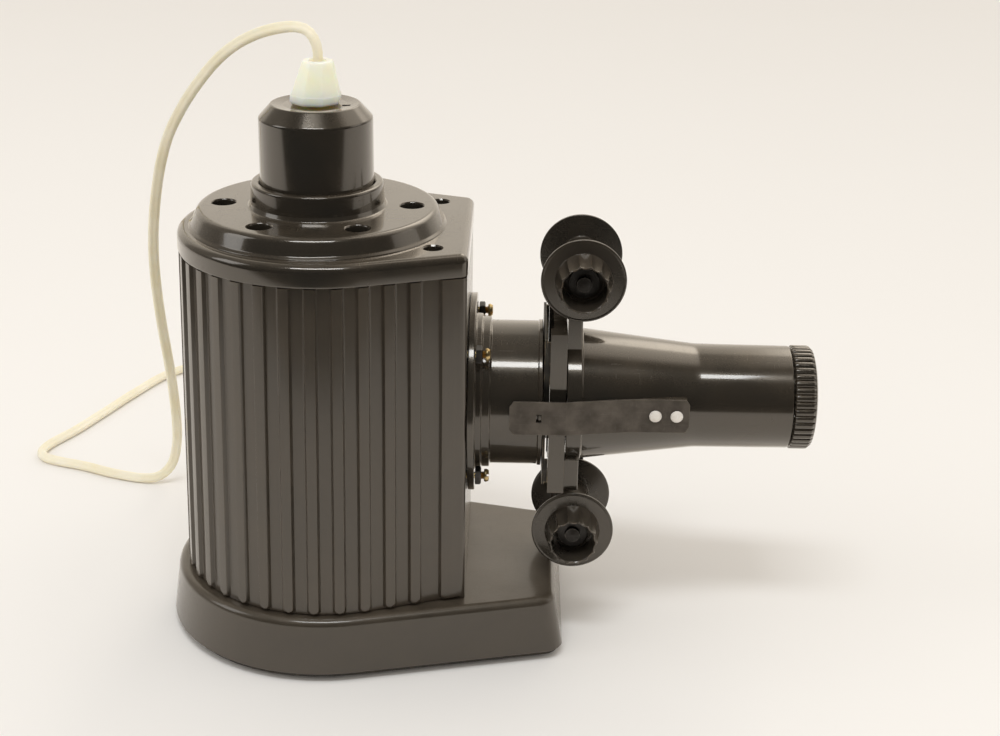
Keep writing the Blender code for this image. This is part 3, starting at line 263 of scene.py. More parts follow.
def use(tree, group, **values):
    made = node(tree, "Group", node_tree=GROUPS[group])
    for label, value in values.items():
        feed(tree, made.inputs[label.replace("_", " ")], value)
    return made.outputs


def blended(tree, share, first, second):
    made = node(tree, "Mix", data_type="RGBA", clamp_factor=True)
    feed(tree, made.inputs["Factor"], share)
    for socket, colour in ((made.inputs[6], first), (made.inputs[7], second)):
        feed(tree, socket, colour if isinstance(colour, bpy.types.NodeSocket) else (*colour, 1.0))
    return made.outputs[2]


def new_material(name, **fixed):
    material = bpy.data.materials.new(name)
    material.use_nodes = True
    tree = material.node_tree
    shader = tree.nodes["Principled BSDF"]
    for label, value in fixed.items():
        shader.inputs[label.replace("_", " ")].default_value = value
    return material, tree, shader.inputs


def raised(tree, sockets, height, strength, distance):
    bump = node(tree, "Bump")
    bump.inputs["Strength"].default_value = strength
    bump.inputs["Distance"].default_value = distance
    feed(tree, bump.inputs["Height"], height)
    feed(tree, sockets["Normal"], bump.outputs["Normal"])


def bakelite(name, dark, brown, gloss, dust, streak=0.0, wear=0.4, coat=0.9, coat_rough=0.09, bump=0.12,
             scratch=0.06):
    """Phenolic moulding: near black, browner where it has aged, glossy under a thin film of dust that also
    paints upward faces lighter as a painted highlight.
    """
    material, tree, sockets = new_material(
        name, Coat_Roughness=coat_rough, Coat_IOR=1.52, IOR=1.6, Metallic=0.0,
        Specular_Tint=(1.0, 0.91, 0.79, 1.0), Coat_Tint=(1.0, 0.94, 0.86, 1.0)
    )
    grain = use(tree, "grain", Streak=streak)
    aged = mapped(tree, grain["Cloud"], 0.36, 0.66)
    colour = blended(tree, aged, dark, brown)
    rub = use(tree, "rub", Amount=wear)["Mask"]
    colour = blended(tree, rub, colour, (0.105, 0.074, 0.050))
    # Dust on upward faces, strong enough to lighten them: partly real dust, partly a painted highlight for
    # the bright backdrop those faces reflect.
    dust_sheen = use(tree, "dust", Amount=dust)["Mask"]
    colour = blended(tree, dust_sheen, colour, (0.235, 0.196, 0.150))
    feed(tree, sockets["Base Color"], colour)
    marks = use(tree, "hairlines", Amount=scratch)["Mask"]
    rough = mapped(tree, grain["Cloud"], 0.3, 0.7, gloss[0], gloss[1])
    rough = math_node(tree, "ADD", rough, math_node(tree, "MULTIPLY", dust_sheen, 0.35))
    feed(tree, sockets["Roughness"], math_node(tree, "ADD", rough, marks, clamp=True))
    dulled = math_node(tree, "MULTIPLY", math_node(tree, "ADD", dust_sheen, marks), 0.6)
    feed(tree, sockets["Coat Weight"], math_node(tree, "SUBTRACT", coat, dulled, clamp=True))
    raised(tree, sockets, grain["Height"], bump, 0.0004)
    return material


def metal(name, clean, tarnished, rough, metallic=1.0, wear_colour=None, wear=0.0, scratch=0.35):
    """Sheet or turned metal with tarnish in clouds, hairlines and, where given, edges rubbed bright."""
    material, tree, sockets = new_material(name, Metallic=metallic)
    cloud = mapped(tree, noise(tree, 130.0, detail=6.0), 0.35, 0.68)
    colour = blended(tree, cloud, clean, tarnished)
    if wear_colour:
        rub = use(tree, "rub", Width=0.0006, Amount=wear)["Mask"]
        colour = blended(tree, rub, colour, wear_colour)
    marks = use(tree, "hairlines", Amount=scratch)["Mask"]
    lighter = tuple(min(1.0, c * 1.6 + 0.03) for c in clean)
    feed(tree, sockets["Base Color"], blended(tree, marks, colour, lighter))
    spread = mapped(tree, cloud, 0.0, 1.0, rough[0], rough[1])
    feed(tree, sockets["Roughness"], spread)
    raised(tree, sockets, noise(tree, 900.0, detail=3.0), 0.10, 0.0002)
    return material


def plastic(name, fresh, yellowed, rough, dirt=(0.30, 0.24, 0.15), soil=0.25, scatter=0.0, bump=0.08):
    """Soft moulded plastic or vinyl, yellowed in patches, with grime in scattered noise patches."""
    material, tree, sockets = new_material(
        name, Subsurface_Weight=scatter, Subsurface_Radius=(0.010, 0.008, 0.005), Subsurface_Scale=1.0,
        IOR=1.5
    )
    patches = mapped(tree, noise(tree, 55.0), 0.35, 0.65)
    colour = blended(tree, patches, fresh, yellowed)
    grime = mapped(tree, noise(tree, 240.0, detail=6.0, roughness=0.7), 0.56, 0.78, 0.0, soil)
    feed(tree, sockets["Base Color"], blended(tree, grime, colour, dirt))
    feed(tree, sockets["Roughness"], mapped(tree, patches, 0.0, 1.0, rough[0], rough[1]))
    raised(tree, sockets, noise(tree, 600.0, detail=4.0), bump, 0.0003)
    return material


def glass(name, tint, ior=1.52, rough=0.02):
    """Clear glass with a breath of haze that changes over the surface."""
    material, tree, sockets = new_material(name, Transmission_Weight=1.0, IOR=ior, Metallic=0.0)
    haze = mapped(tree, noise(tree, 90.0), 0.4, 0.75, rough, rough + 0.05)
    feed(tree, sockets["Roughness"], haze)
    pale = tuple(c * 0.96 for c in tint)
    feed(tree, sockets["Base Color"], blended(tree, noise(tree, 40.0), tint, pale))
    return material


BLACK = (0.0215, 0.0205, 0.0180)
BROWN = (0.038, 0.0320, 0.0250)
MATERIALS = {
    "polished": bakelite("polished_bakelite", BLACK, (0.028, 0.0240, 0.0190), (0.14, 0.24), 0.20, 0.0, 0.35,
                         0.9, 0.06, 0.04),
    "housing": bakelite(
        "ribbed_bakelite", (0.025, 0.0220, 0.0180), BROWN, (0.28, 0.42), 0.24, 0.35, 0.35, 0.85, 0.15, 0.26
    ),
    "base": bakelite(
        "base_bakelite", (0.027, 0.0235, 0.0190), BROWN, (0.30, 0.44), 0.30, 0.0, 0.5, 0.80, 0.15, 0.20
    ),
    "spool": bakelite("spool_bakelite", BLACK, (0.030, 0.0255, 0.0205), (0.22, 0.34), 0.25, 0.0, 0.45, 0.7,
                      0.16, 0.16),
    "plate": metal("blackened_plate", (0.050, 0.044, 0.036), (0.026, 0.023, 0.019), (0.38, 0.55), 0.55,
                   (0.46, 0.36, 0.22), 0.9),
    "dark_steel": metal("blued_steel", (0.060, 0.056, 0.052), (0.030, 0.026, 0.022), (0.32, 0.50), 0.85,
                        (0.30, 0.27, 0.23), 0.5),
    "spring_steel": metal("browned_spring_steel", (0.115, 0.098, 0.080), (0.072, 0.060, 0.048),
                          (0.40, 0.58), 0.55, (0.26, 0.22, 0.17), 0.6, 0.15),
    "bright_steel": metal("bright_steel", (0.60, 0.60, 0.58), (0.42, 0.41, 0.38), (0.22, 0.38)),
    "aluminium": metal("aluminium_rivet", (0.90, 0.86, 0.80), (0.80, 0.75, 0.68), (0.42, 0.60), 0.15),
    "brass": metal("aged_brass", (0.72, 0.55, 0.27), (0.44, 0.31, 0.14), (0.24, 0.42)),
    "rubber": plastic("black_rubber", (0.020, 0.019, 0.018), (0.032, 0.029, 0.025), (0.65, 0.85),
                      (0.10, 0.085, 0.065), 0.4),
    "board": plastic("blackened_board", (0.026, 0.022, 0.018), (0.045, 0.037, 0.028), (0.6, 0.8),
                     (0.16, 0.125, 0.085), 0.5),
    "ivory": plastic("ivory_grip", (0.99, 0.96, 0.80), (0.98, 0.93, 0.72), (0.30, 0.42), soil=0.04,
                     scatter=1.0),
    "vinyl": plastic("cream_vinyl", (0.90, 0.83, 0.66), (0.85, 0.77, 0.57), (0.34, 0.48),
                     (0.60, 0.51, 0.34), 0.15, 0.25),
    "ceramic": plastic("glazed_ceramic", (0.86, 0.84, 0.79), (0.78, 0.74, 0.66), (0.12, 0.22), soil=0.12),
    "lens": glass("lens_glass", (0.93, 0.96, 0.95)),
    "bulb": glass("bulb_glass", (0.95, 0.96, 0.95), 1.45, 0.04),
}

# ---------------------------------------------------------------- mesh helpers


def new_piece(name, points, faces, body, material, slot, stands_for=(), sharp=SHARP):
    """A smooth-shaded piece from points in millimetres, riding on a body of the frame."""
    mesh = bpy.data.meshes.new(name)
    mesh.from_pydata([placed(p) for p in points], [], faces)
    shape = bmesh.new()
    shape.from_mesh(mesh)
    bmesh.ops.recalc_face_normals(shape, faces=shape.faces)
    shape.to_mesh(mesh)
    shape.free()
    obj = bpy.data.objects.new(name, mesh)
    bpy.context.scene.collection.objects.link(obj)
    mesh.materials.append(MATERIALS[material])
    if body:
        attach(obj, body)
        if stands_for:
            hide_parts(*stands_for)
        smoothed(obj, sharp)
    return obj


def smoothed(obj, sharp=SHARP):
    """Smooth shading that stays flat on flat faces and crisp at corners."""
    obj.data.shade_smooth()
    obj.data.set_sharp_from_angle(angle=math.radians(sharp))
    even = obj.modifiers.new("even_normals", "WEIGHTED_NORMAL")
    even.keep_sharp = True


def shaped(obj, other, operation="DIFFERENCE"):
    """Cuts `other` from a piece, or joins it on, at once, and throws `other` away."""
    change = obj.modifiers.new("shape", "BOOLEAN")
    change.operation = operation
    change.solver = "EXACT"
    change.object = other
    keep = [m for m in obj.modifiers if m != change]
    for modifier in keep:
        modifier.show_viewport = False
    bpy.context.view_layer.update()
    graph = bpy.context.evaluated_depsgraph_get()
    made = bpy.data.meshes.new_from_object(obj.evaluated_get(graph), depsgraph=graph)
    obj.modifiers.remove(change)
    for modifier in keep:
        modifier.show_viewport = True
    material = obj.data.materials[0]
    obj.data = made
    made.materials.clear()
    made.materials.append(material)
    bpy.data.objects.remove(other, do_unlink=True)
    made.shade_smooth()
    made.set_sharp_from_angle(angle=math.radians(SHARP))


def rounded(profile, steps=5):
    """A closed run of (along, radius[, corner]) with each corner that has a size turned into an arc."""
    smooth = []
    count = len(profile)
    for index, spot in enumerate(profile):
        here = Vector(spot[:2])
        size = spot[2] if len(spot) > 2 else 0.0
        before = Vector(profile[index - 1][:2]) - here
        after = Vector(profile[(index + 1) % count][:2]) - here
        if size <= 0 or before.length < TINY or after.length < TINY:
            smooth.append(tuple(here))
            continue
        angle = before.angle(after)
        reach = min(size / math.tan(angle / 2), before.length * 0.49, after.length * 0.49)
        start = here + before.normalized() * reach
        end = here + after.normalized() * reach
        for step in range(steps + 1):
            share = step / steps
            pull = 2 * share * (1 - share)
            smooth.append(tuple(start * (1 - share) ** 2 + here * pull + end * share**2))
    return smooth


def box_outline(low, high, corner, steps):
    """A rectangle between two opposite corners, each corner rounded, as a closed run of points."""
    spots = ((low[0], low[1]), (high[0], low[1]), (high[0], high[1]), (low[0], high[1]))
    return rounded([(*spot, corner) for spot in spots], steps)


def ring_faces(rings, steps):
    """Faces between rings of point numbers, closed from the last ring back to the first."""
    faces = []
    for index, ring in enumerate(rings):
        following = rings[(index + 1) % len(rings)]
        for step in range(steps):
            after = (step + 1) % steps
            if len(ring) == 1 and len(following) == 1:
                break
            if len(ring) == 1:
                faces.append((ring[0], following[after], following[step]))
            elif len(following) == 1:
                faces.append((ring[step], ring[after], following[0]))
            else:
                faces.append((ring[step], ring[after], following[after], following[step]))
    return faces


def turned_mesh(axis, centre, profile, steps, radius_at=None):
    """Points and faces of a closed profile turned about an axis through `centre`."""
    points = []
    rings = []
    for along, radius in profile:
        ring = []
        for step in range(steps if radius > TINY else 1):
            angle = TAU * step / steps
            reach = radius_at(along, radius, angle) if radius_at and radius > TINY else radius
            across = (reach * math.cos(angle), reach * math.sin(angle))
            local = {
                "X": (along, across[0], across[1]),
                "Y": (across[0], along, across[1]),
                "Z": (across[0], across[1], along),
            }[axis]
            ring.append(len(points))
            points.append([centre[k] + local[k] for k in range(3)])
        rings.append(ring)
    return points, ring_faces(rings, steps)


def loose(points, faces):
    """A shape that only cuts another or joins on to it."""
    return new_piece("loose_shape", points, faces, None, "rubber", None)


def turned(name, axis, centre, profile, body, material, slot, stands_for=(), steps=96, radius_at=None,
           arc=5):
    points, faces = turned_mesh(axis, centre, rounded(profile, arc), steps, radius_at)
    return new_piece(name, points, faces, body, material, slot, stands_for)


def cutter(axis, centre, profile, steps=48):
    return loose(*turned_mesh(axis, centre, profile, steps))


def several(parts):
    """One loose shape from several (points, faces) pairs that don't touch."""
    points = []
    faces = []
    for more_points, more_faces in parts:
        base = len(points)
        points += more_points
        faces += [tuple(base + k for k in face) for face in more_faces]
    return loose(points, faces)


def stacked(sections):
    """Points and faces of a body through closed sections of equal point count, capped at both ends."""
    count = len(sections[0])
    points = [p for section in sections for p in section]
    faces = [tuple(range(count)), tuple(range(len(points) - count, len(points)))]
    for level in range(len(sections) - 1):
        low = level * count
        for step in range(count):
            after = (step + 1) % count
            faces.append((low + step, low + after, low + count + after, low + count + step))
    return points, faces


def slab(low, high):
    return stacked([
        [(low[0], low[1], z), (high[0], low[1], z), (high[0], high[1], z), (low[0], high[1], z)]
        for z in (low[2], high[2])
    ])


def bevelled(obj, width, segments=3):
    """Rounds a piece's sharp edges, before its normals are evened."""
    bevel = obj.modifiers.new("rounded_edges", "BEVEL")
    bevel.width = width * MM
    bevel.segments = segments
    bevel.limit_method = "ANGLE"
    bevel.angle_limit = math.radians(BEVEL_ANGLE)
    bevel.harden_normals = False
    even = obj.modifiers.get("even_normals")
    if even:
        obj.modifiers.move(len(obj.modifiers) - 1, 0)


# ---------------------------------------------------------------- cord, coil, plug and grip

CORD_D = 5.0
CORD_T = 3.0
CORD_REST = CORD_D / 2 + 0.1
CORE_STEPS = 8
CORE_ARC = math.radians(236)
CORD_ROUTE = (
    (0.7, 0.0, 237.5), (1.5, 0.0, 249.5), (0.9, 1.2, 256.6), (-2.2, 3.2, 261.4), (-7.2, 5.4, 263.0),
    (-14.8, 9.2, 261.9), (-24.9, 14.0, 258.4), (-34.9, 19.2, 252.7), (-44.6, 25.4, 244.4),
    (-55.1, 33.6, 232.0), (-64.2, 41.6, 219.0), (-72.0, 49.8, 205.0), (-78.2, 58.6, 188.6),
    (-83.0, 67.2, 171.0), (-86.8, 75.8, 152.5), (-89.2, 84.4, 134.0), (-90.4, 93.0, 114.5),
    (-90.6, 101.0, 94.2), (-90.2, 107.6, 76.0), (-89.8, 112.6, 58.0), (-89.8, 116.5, 41.0),
    (-90.8, 119.6, 26.0), (-94.2, 121.8, 12.6), (-101.0, 122.4, 4.6), (-111.0, 122.8, CORD_REST),
    (-128.0, 128.2, CORD_REST), (-145.0, 136.4, CORD_REST), (-160.0, 141.8, CORD_REST),
    (-168.4, 146.4, CORD_REST), (-172.0, 153.6, CORD_REST), (-170.0, 164.4, CORD_REST),
    (-160.6, 184.0, CORD_REST), (-150.6, 210.0, CORD_REST), (-139.4, 240.0, CORD_REST),
    (-125.0, 271.0, CORD_REST), (-102.0, 290.6, CORD_REST), (-70.0, 296.6, CORD_REST),
    (-36.0, 290.8, CORD_REST), (-14.0, 289.4, CORD_REST),
)
TAIL_ROUTE = ((14.0, 277.5, 8.2), (26.0, 270.0, 8.0))
TAIL_TURN = (33.0, 261.5)
PLUG_OVERLAP = 4
CORD_SPACING = 3.0
CORD_FACING = (0.15, -0.80, 0.55)
CORD_TWIST = math.radians(55)
TWIST_AT = 12.0
TWIST_LENGTH = 14.0
LAID_FROM = 0.8
COIL_AT = (0.0, 255.0)
COIL_R = 27.0
COIL_COLUMN = 2.6
COIL_ROW = 3.15
COIL_LOW = 1.9
COIL_TURNS = ((1, 0), (-1, 0), (-1, 1), (1, 1), (1, 2), (-1, 2))
COIL_STEPS = 24
COIL_EASE = 0.34


def smooth_line(spots, spacing):
    """Points about `spacing` apart on the smooth curve through the given ones."""
    line = []
    spots = [Vector(p) for p in spots]
    ends = [2 * spots[0] - spots[1]] + spots + [2 * spots[-1] - spots[-2]]
    for index in range(1, len(ends) - 2):
        p0, p1, p2, p3 = ends[index - 1 : index + 3]
        count = max(1, round((p2 - p1).length / spacing))
        for step in range(count):
            t = step / count
            line.append(0.5 * (
                2 * p1 + (p2 - p0) * t + (2 * p0 - 5 * p1 + 4 * p2 - p3) * t**2
                + (3 * p1 - p0 - 3 * p2 + p3) * t**3
            ))
    line.append(spots[-1])
    return line


def coil_points():
    """The wound turns: two side by side in three layers, each easing into the next over its last third."""
    points = []
    for step in range(len(COIL_TURNS) * COIL_STEPS + 1):
        turn = min(step // COIL_STEPS, len(COIL_TURNS) - 1)
        into = step / COIL_STEPS - turn
        column, row = COIL_TURNS[turn]
        if turn + 1 < len(COIL_TURNS):
            ease = min(max((into - 1 + COIL_EASE) / COIL_EASE, 0.0), 1.0)
            ease = ease * ease * (3 - 2 * ease)
            column += (COIL_TURNS[turn + 1][0] - column) * ease
            row += (COIL_TURNS[turn + 1][1] - row) * ease
        radius = COIL_R + column * COIL_COLUMN
        angle = TAU / 4 - TAU * step / COIL_STEPS
        points.append((COIL_AT[0] + radius * math.cos(angle), COIL_AT[1] + radius * math.sin(angle),
                       COIL_LOW + row * COIL_ROW))
    return points


def cord_section():
    """The flat twin's outline: two round cores with a groove between them, as (across, through)."""
    outline = []
    core = CORD_T / 2
    apart = (CORD_D - CORD_T) / 2
    for side in (1, -1):
        for step in range(CORE_STEPS + 1):
            angle = CORE_ARC * (step / CORE_STEPS - 0.5)
            outline.append((side * (apart + core * math.cos(angle)), side * core * math.sin(angle)))
    return outline


def swept(line, section, wide_at):
    """Points and faces of a section carried along a line; `wide_at` gives its wide direction."""
    rings = []
    for index, point in enumerate(line):
        ahead = (line[min(index + 1, len(line) - 1)] - line[max(index - 1, 0)]).normalized()
        wide = wide_at(index / (len(line) - 1), ahead)
        wide = (wide - ahead * wide.dot(ahead)).normalized()
        through = ahead.cross(wide)
        rings.append([tuple(point + wide * a + through * b) for a, b in section])
    return stacked(rings)


def make_cord():
    """The flat twin lead from the grip over the back to the table, into its coil and on to the plug."""
    coil = coil_points()
    plug_low, plug_high = extent("plug")
    tail_z = (plug_low.z + plug_high.z) / 2
    tail = [*TAIL_ROUTE, (*TAIL_TURN, tail_z), (plug_low.x + PLUG_OVERLAP, COIL_AT[1], tail_z)]
    route = smooth_line([*CORD_ROUTE, *coil[::2], *tail], CORD_SPACING)
    total = sum((b - a).length for a, b in zip(route, route[1:]))
    free = sum((Vector(b) - Vector(a)).length for a, b in zip(CORD_ROUTE, CORD_ROUTE[1:])) / total

    def wide_at(share, ahead):
        """The cord's flat side faces the front in the air, turns at the grip and lies flat on the table."""
        settle = min(max((share / free - LAID_FROM) / (1 - LAID_FROM), 0.0), 1.0)
        twist = CORD_TWIST * math.exp(-(((share * total - TWIST_AT) / TWIST_LENGTH) ** 2))
        facing = Vector(CORD_FACING).lerp(Vector((0, 0, 1)), settle)
        return Matrix.Rotation(twist, 3, ahead) @ ahead.cross(facing)

    cord = new_piece("twin_cord", *swept(route, cord_section(), wide_at), "housing", "vinyl", "cord",
                     ("cord", "cord_coil"), sharp=60.0)
    plug = make_plug()
    grip = make_grip()
    tie = make_tie()


# Where the plug's body changes along its length: (along, half its width, half its height).
PLUG_STATIONS = (
    (0.0, 3.0, 3.0), (0.6, 3.9, 3.8), (5.0, 4.3, 4.0), (5.6, 3.8, 3.5), (6.6, 3.8, 3.5), (7.2, 4.6, 4.2),
    (8.8, 5.2, 4.6), (9.4, 4.8, 4.2), (10.4, 6.2, 5.4), (14.0, 10.6, 6.6), (20.0, 13.0, 6.8),
    (29.0, 13.8, 6.8), (33.6, 13.4, 6.7), (34.7, 12.6, 6.0), (35.0, 11.4, 5.0),
)
PLUG_STEPS = 32
PLUG_FLATNESS = (0.6, 0.75)
PIN_R = 2.0
PIN_APART = 9.0
PIN_START = 34.5
PIN_NOSE = 1.2
PIN_TIP_R = 1.1


def make_plug():
    """A flat moulded two-pin plug with a ribbed waist."""
    low, high = extent("plug")
    centre_y = COIL_AT[1]
    centre_z = (low.z + high.z) / 2
    sections = []
    for along, half_y, half_z in PLUG_STATIONS:
        ring = []
        for step in range(PLUG_STEPS):
            angle = TAU * (step + 0.5) / PLUG_STEPS
            across = math.copysign(abs(math.cos(angle)) ** PLUG_FLATNESS[0], math.cos(angle))
            rise = math.copysign(abs(math.sin(angle)) ** PLUG_FLATNESS[1], math.sin(angle))
            ring.append((low.x + along, centre_y + half_y * across, centre_z + half_z * rise))
        sections.append(ring)
    plug = new_piece("moulded_plug", *stacked(sections), "housing", "ivory", "ivory", ("plug",), sharp=50.0)
    pin_parts = []
    for side in (1, -1):
        pin = [(low.x + PIN_START, 0), (low.x + PIN_START, PIN_R, 0.2), (high.x - PIN_NOSE, PIN_R, 0.8),
               (high.x, PIN_TIP_R, 0.3), (high.x, 0)]
        pin_parts.append(turned_mesh("X", (0, centre_y + side * PIN_APART, centre_z), rounded(pin), 32))
    pins = several(pin_parts)
    pins.name = "plug_pins"
    pins.data.materials.clear()
    pins.data.materials.append(MATERIALS["brass"])
    pins.parent = plug
    smoothed(pins)
    return plug


GRIP_SIDES = 8
GRIP_EDGE = math.radians(3.4)
GRIP_LEAN = 1.4
GRIP_RIM_H = 3.4
GRIP_STEP = 0.5
GRIP_END_R = 6.8
GRIP_MOUTH_R = (3.7, 3.2)


def make_grip():
    """The eight-sided tapered cord grip of pale, slightly clear plastic."""
    height = GRIP_HIGH.z - HOLDER_HIGH.z
    foot = HOLDER_HIGH.z + 0.3
    reach = (GRIP_HIGH.x - GRIP_LOW.x) / 2 + GRIP_STEP
    stations = (
        (0.0, reach - GRIP_STEP), (0.6, reach), (GRIP_RIM_H, reach), (GRIP_RIM_H + 0.6, reach - GRIP_STEP),
        (height - 1.5, GRIP_END_R), (height - 0.5, GRIP_END_R - 0.6), (height - 0.4, GRIP_MOUTH_R[0]),
        (height - 3.0, GRIP_MOUTH_R[1]),
    )
    sections = []
    for rise, radius in stations:
        ring = []
        for side in range(GRIP_SIDES):
            for edge in (-1, 1):
                angle = TAU * (side + 0.5) / GRIP_SIDES + edge * GRIP_EDGE
                shift = GRIP_LEAN * min(rise / height, 1.0)
                ring.append((shift + radius * math.cos(angle), radius * math.sin(angle), foot + rise))
        sections.append(ring)
    return new_piece("octagon_grip", *stacked(sections), "housing", "ivory", "ivory", ("cord_grip",),
                     sharp=30.0)


TIE_AT = math.radians(205)
TIE_HALF = 1.6
TIE_REACH = 5.6
TIE_Z = (-4.4, 5.0)
TIE_CORNER = 1.2
TIE_T = 0.4


def make_tie():
    """A narrow strap round the coil's bundle: an open band, its last ring joined back to the first."""
    out = Vector((math.cos(TIE_AT), math.sin(TIE_AT), 0))
    along = Vector((-out.y, out.x, 0))
    centre = Vector((*COIL_AT, COIL_LOW + COIL_ROW)) + out * COIL_R
    outline = box_outline((-TIE_REACH, TIE_Z[0]), (TIE_REACH, TIE_Z[1]), TIE_CORNER, 4)
    sections = []
    for shift, grow in ((-TIE_HALF, 0.0), (-TIE_HALF, TIE_T), (TIE_HALF, TIE_T), (TIE_HALF, 0.0)):
        middle_at = centre + along * shift
        wider, higher = 1 + grow / TIE_REACH, 1 + grow / TIE_Z[1]
        sections.append([
            tuple(middle_at + out * a * wider + Vector((0, 0, b * higher))) for a, b in outline
        ])
    points, faces = stacked(sections)
    faces = faces[2:]
    count = len(outline)
    last = (len(sections) - 1) * count
    for step in range(count):
        after = (step + 1) % count
        faces.append((last + step, last + after, after, step))
    return new_piece("coil_tie", points, faces, "housing", "rubber", "rubber")


make_cord()

# ---------------------------------------------------------------- the D-shaped plan


class Plan:
    """The D-shaped outline of base, lamp house and cap: a back circle running into a blunt front.

    `side_run` counts from the front corner along the straight side and on round the back.
    """

    def __init__(self, centre, radius, front, half, corner):
        self.centre, self.radius, self.front, self.half, self.corner = centre, radius, front, half, corner
        reach = math.hypot(front - centre, half)
        self.turn = math.acos(radius / reach) + math.atan2(half, front - centre)
        leave = (centre + radius * math.cos(self.turn), radius * math.sin(self.turn))
        self.side = math.hypot(front - leave[0], half - leave[1])
        self.leave = leave
        self.half_run = self.side + radius * (math.pi - self.turn)

    def side_run(self, run):
        """The point and outward normal angle `run` along from the front corner."""
        if run > self.half_run:
            x, y, turn = self.side_run(2 * self.half_run - run)
            return x, -y, -turn
        if run < self.side:
            share = run / self.side
            x = self.front + (self.leave[0] - self.front) * share
            return x, self.half + (self.leave[1] - self.half) * share, self.turn
        turn = self.turn + (run - self.side) / self.radius
        return self.centre + self.radius * math.cos(turn), self.radius * math.sin(turn), turn

    def corner_arc(self, side, steps):
        """Points of a rounded front corner, from the front face to the side when `side` is +1."""
        centre_y = self.half - self.corner * (1 - math.cos(self.turn)) / math.sin(self.turn)
        arc = []
        for step in range(steps + 1):
            turn = self.turn * step / steps
            x = self.front - self.corner + self.corner * math.cos(turn)
            arc.append((x, side * (centre_y + self.corner * math.sin(turn)), side * turn))
        return arc if side > 0 else arc[::-1]

    def outline(self, back_steps=120, corner_steps=8):
        """The whole outline as (x, y, outward angle), anticlockwise from the front face."""
        start = self.corner * math.tan(self.turn / 2)
        runs = [start + (self.side - start) * k / 6 for k in range(1, 6)]
        runs += [self.side + 2 * (self.half_run - self.side) * k / back_steps for k in range(back_steps + 1)]
        runs += [2 * self.half_run - run for run in reversed(runs[:5])]
        middle_part = [self.side_run(run) for run in runs]
        return self.corner_arc(1, corner_steps) + middle_part + self.corner_arc(-1, corner_steps)


def at_level(outline, z, inset=0.0):
    """An outline moved in by `inset` at height z; `inset` may be one number or one for each point."""
    insets = inset if isinstance(inset, list) else [inset] * len(outline)
    return [(x - d * math.cos(a), y - d * math.sin(a), z) for (x, y, a), d in zip(outline, insets)]


def between(low, high, share):
    return [tuple(a + (b - a) * share for a, b in zip(p, q)) for p, q in zip(low, high)]


def fillet_levels(outline_at, z, radius, steps=6):
    """Rings of a rounded top edge that ends at height z; `outline_at` gives the outline at a height."""
    rings = []
    for step in range(steps + 1):
        turn = math.pi / 2 * step / steps
        height = z - radius + radius * math.sin(turn)
        rings.append(at_level(outline_at(height), height, radius * (1 - math.cos(turn))))
    return rings


# ---------------------------------------------------------------- base

BASE_CX = 1.5
BASE_ROUND = 3.0
BASE_WALL = 3.2
BASE_CORNER = 9.0
BASE_DRAFT = 3.2
BASE_FRONT_DRAFT = 4.0
BASE_HALF = (46.0, 42.5)
BASE_LIP = 0.4
BASE_FOOT_EDGE = 0.5


def make_base():
    """The base moulding: drafted skirt, rolled top edge, open below."""
    radius_low = BASE_CX - BASE_LOW.x
    front_top = BASE_HIGH.x - BASE_FRONT_DRAFT
    low = Plan(BASE_CX, radius_low, BASE_HIGH.x, BASE_HALF[0], BASE_CORNER).outline()
    top = Plan(BASE_CX, radius_low - BASE_DRAFT, front_top, BASE_HALF[1], BASE_CORNER).outline()
    z0, z1 = BASE_LOW.z, BASE_HIGH.z

    def outline_at(z):
        return between(low, top, (z - z0) / (z1 - z0))

    sections = [
        at_level(outline_at(z1 - BASE_WALL), z1 - BASE_WALL, BASE_WALL + 1),
        at_level(low, z0 + BASE_LIP, BASE_WALL),
        at_level(low, z0, BASE_WALL - BASE_LIP),
        at_level(low, z0, BASE_FOOT_EDGE),
        at_level(low, z0 + BASE_FOOT_EDGE, 0.0),
    ]
    sections += fillet_levels(outline_at, z1, BASE_ROUND)
    new_piece("base_moulding", *stacked(sections), "housing", "base", "bakelite", ("base_shell",))


# ---------------------------------------------------------------- lamp house

HOUSE_CX = 2.4
HOUSE_R = (63.6, 61.0)
HOUSE_HALF = (44.4, 42.6)
HOUSE_CORNER = 2.5
HOUSE_WALL = 5.0
HOUSE_FLOOR = 2.6
RIB_COUNT = 27
RIB_PITCH = 10.74
RIB_W = 5.0
RIB_SHOULDER = 1.15
FLUTE_DEPTH = 1.7
RIB_OFFSETS = (-3.6, -3.2, -2.9, -2.6, -2.3, -2.0, -1.5, -0.8, 0.0, 0.8, 1.5, 2.0, 2.3, 2.6, 2.9, 3.2, 3.6)
FOOT_RISES = (0.0, 0.25, 0.5, 0.8, 1.1, 1.4, 1.8, 2.3, 2.9, 3.6, 4.6, 12.0)
STRIP_RUNS = (3.2, 5.0, 7.2)
FLUTE_EDGE = 0.6
FOOT_SOFTENING = 0.35
WINDOW_R = 26.0
WINDOW_DEPTH = 9.0


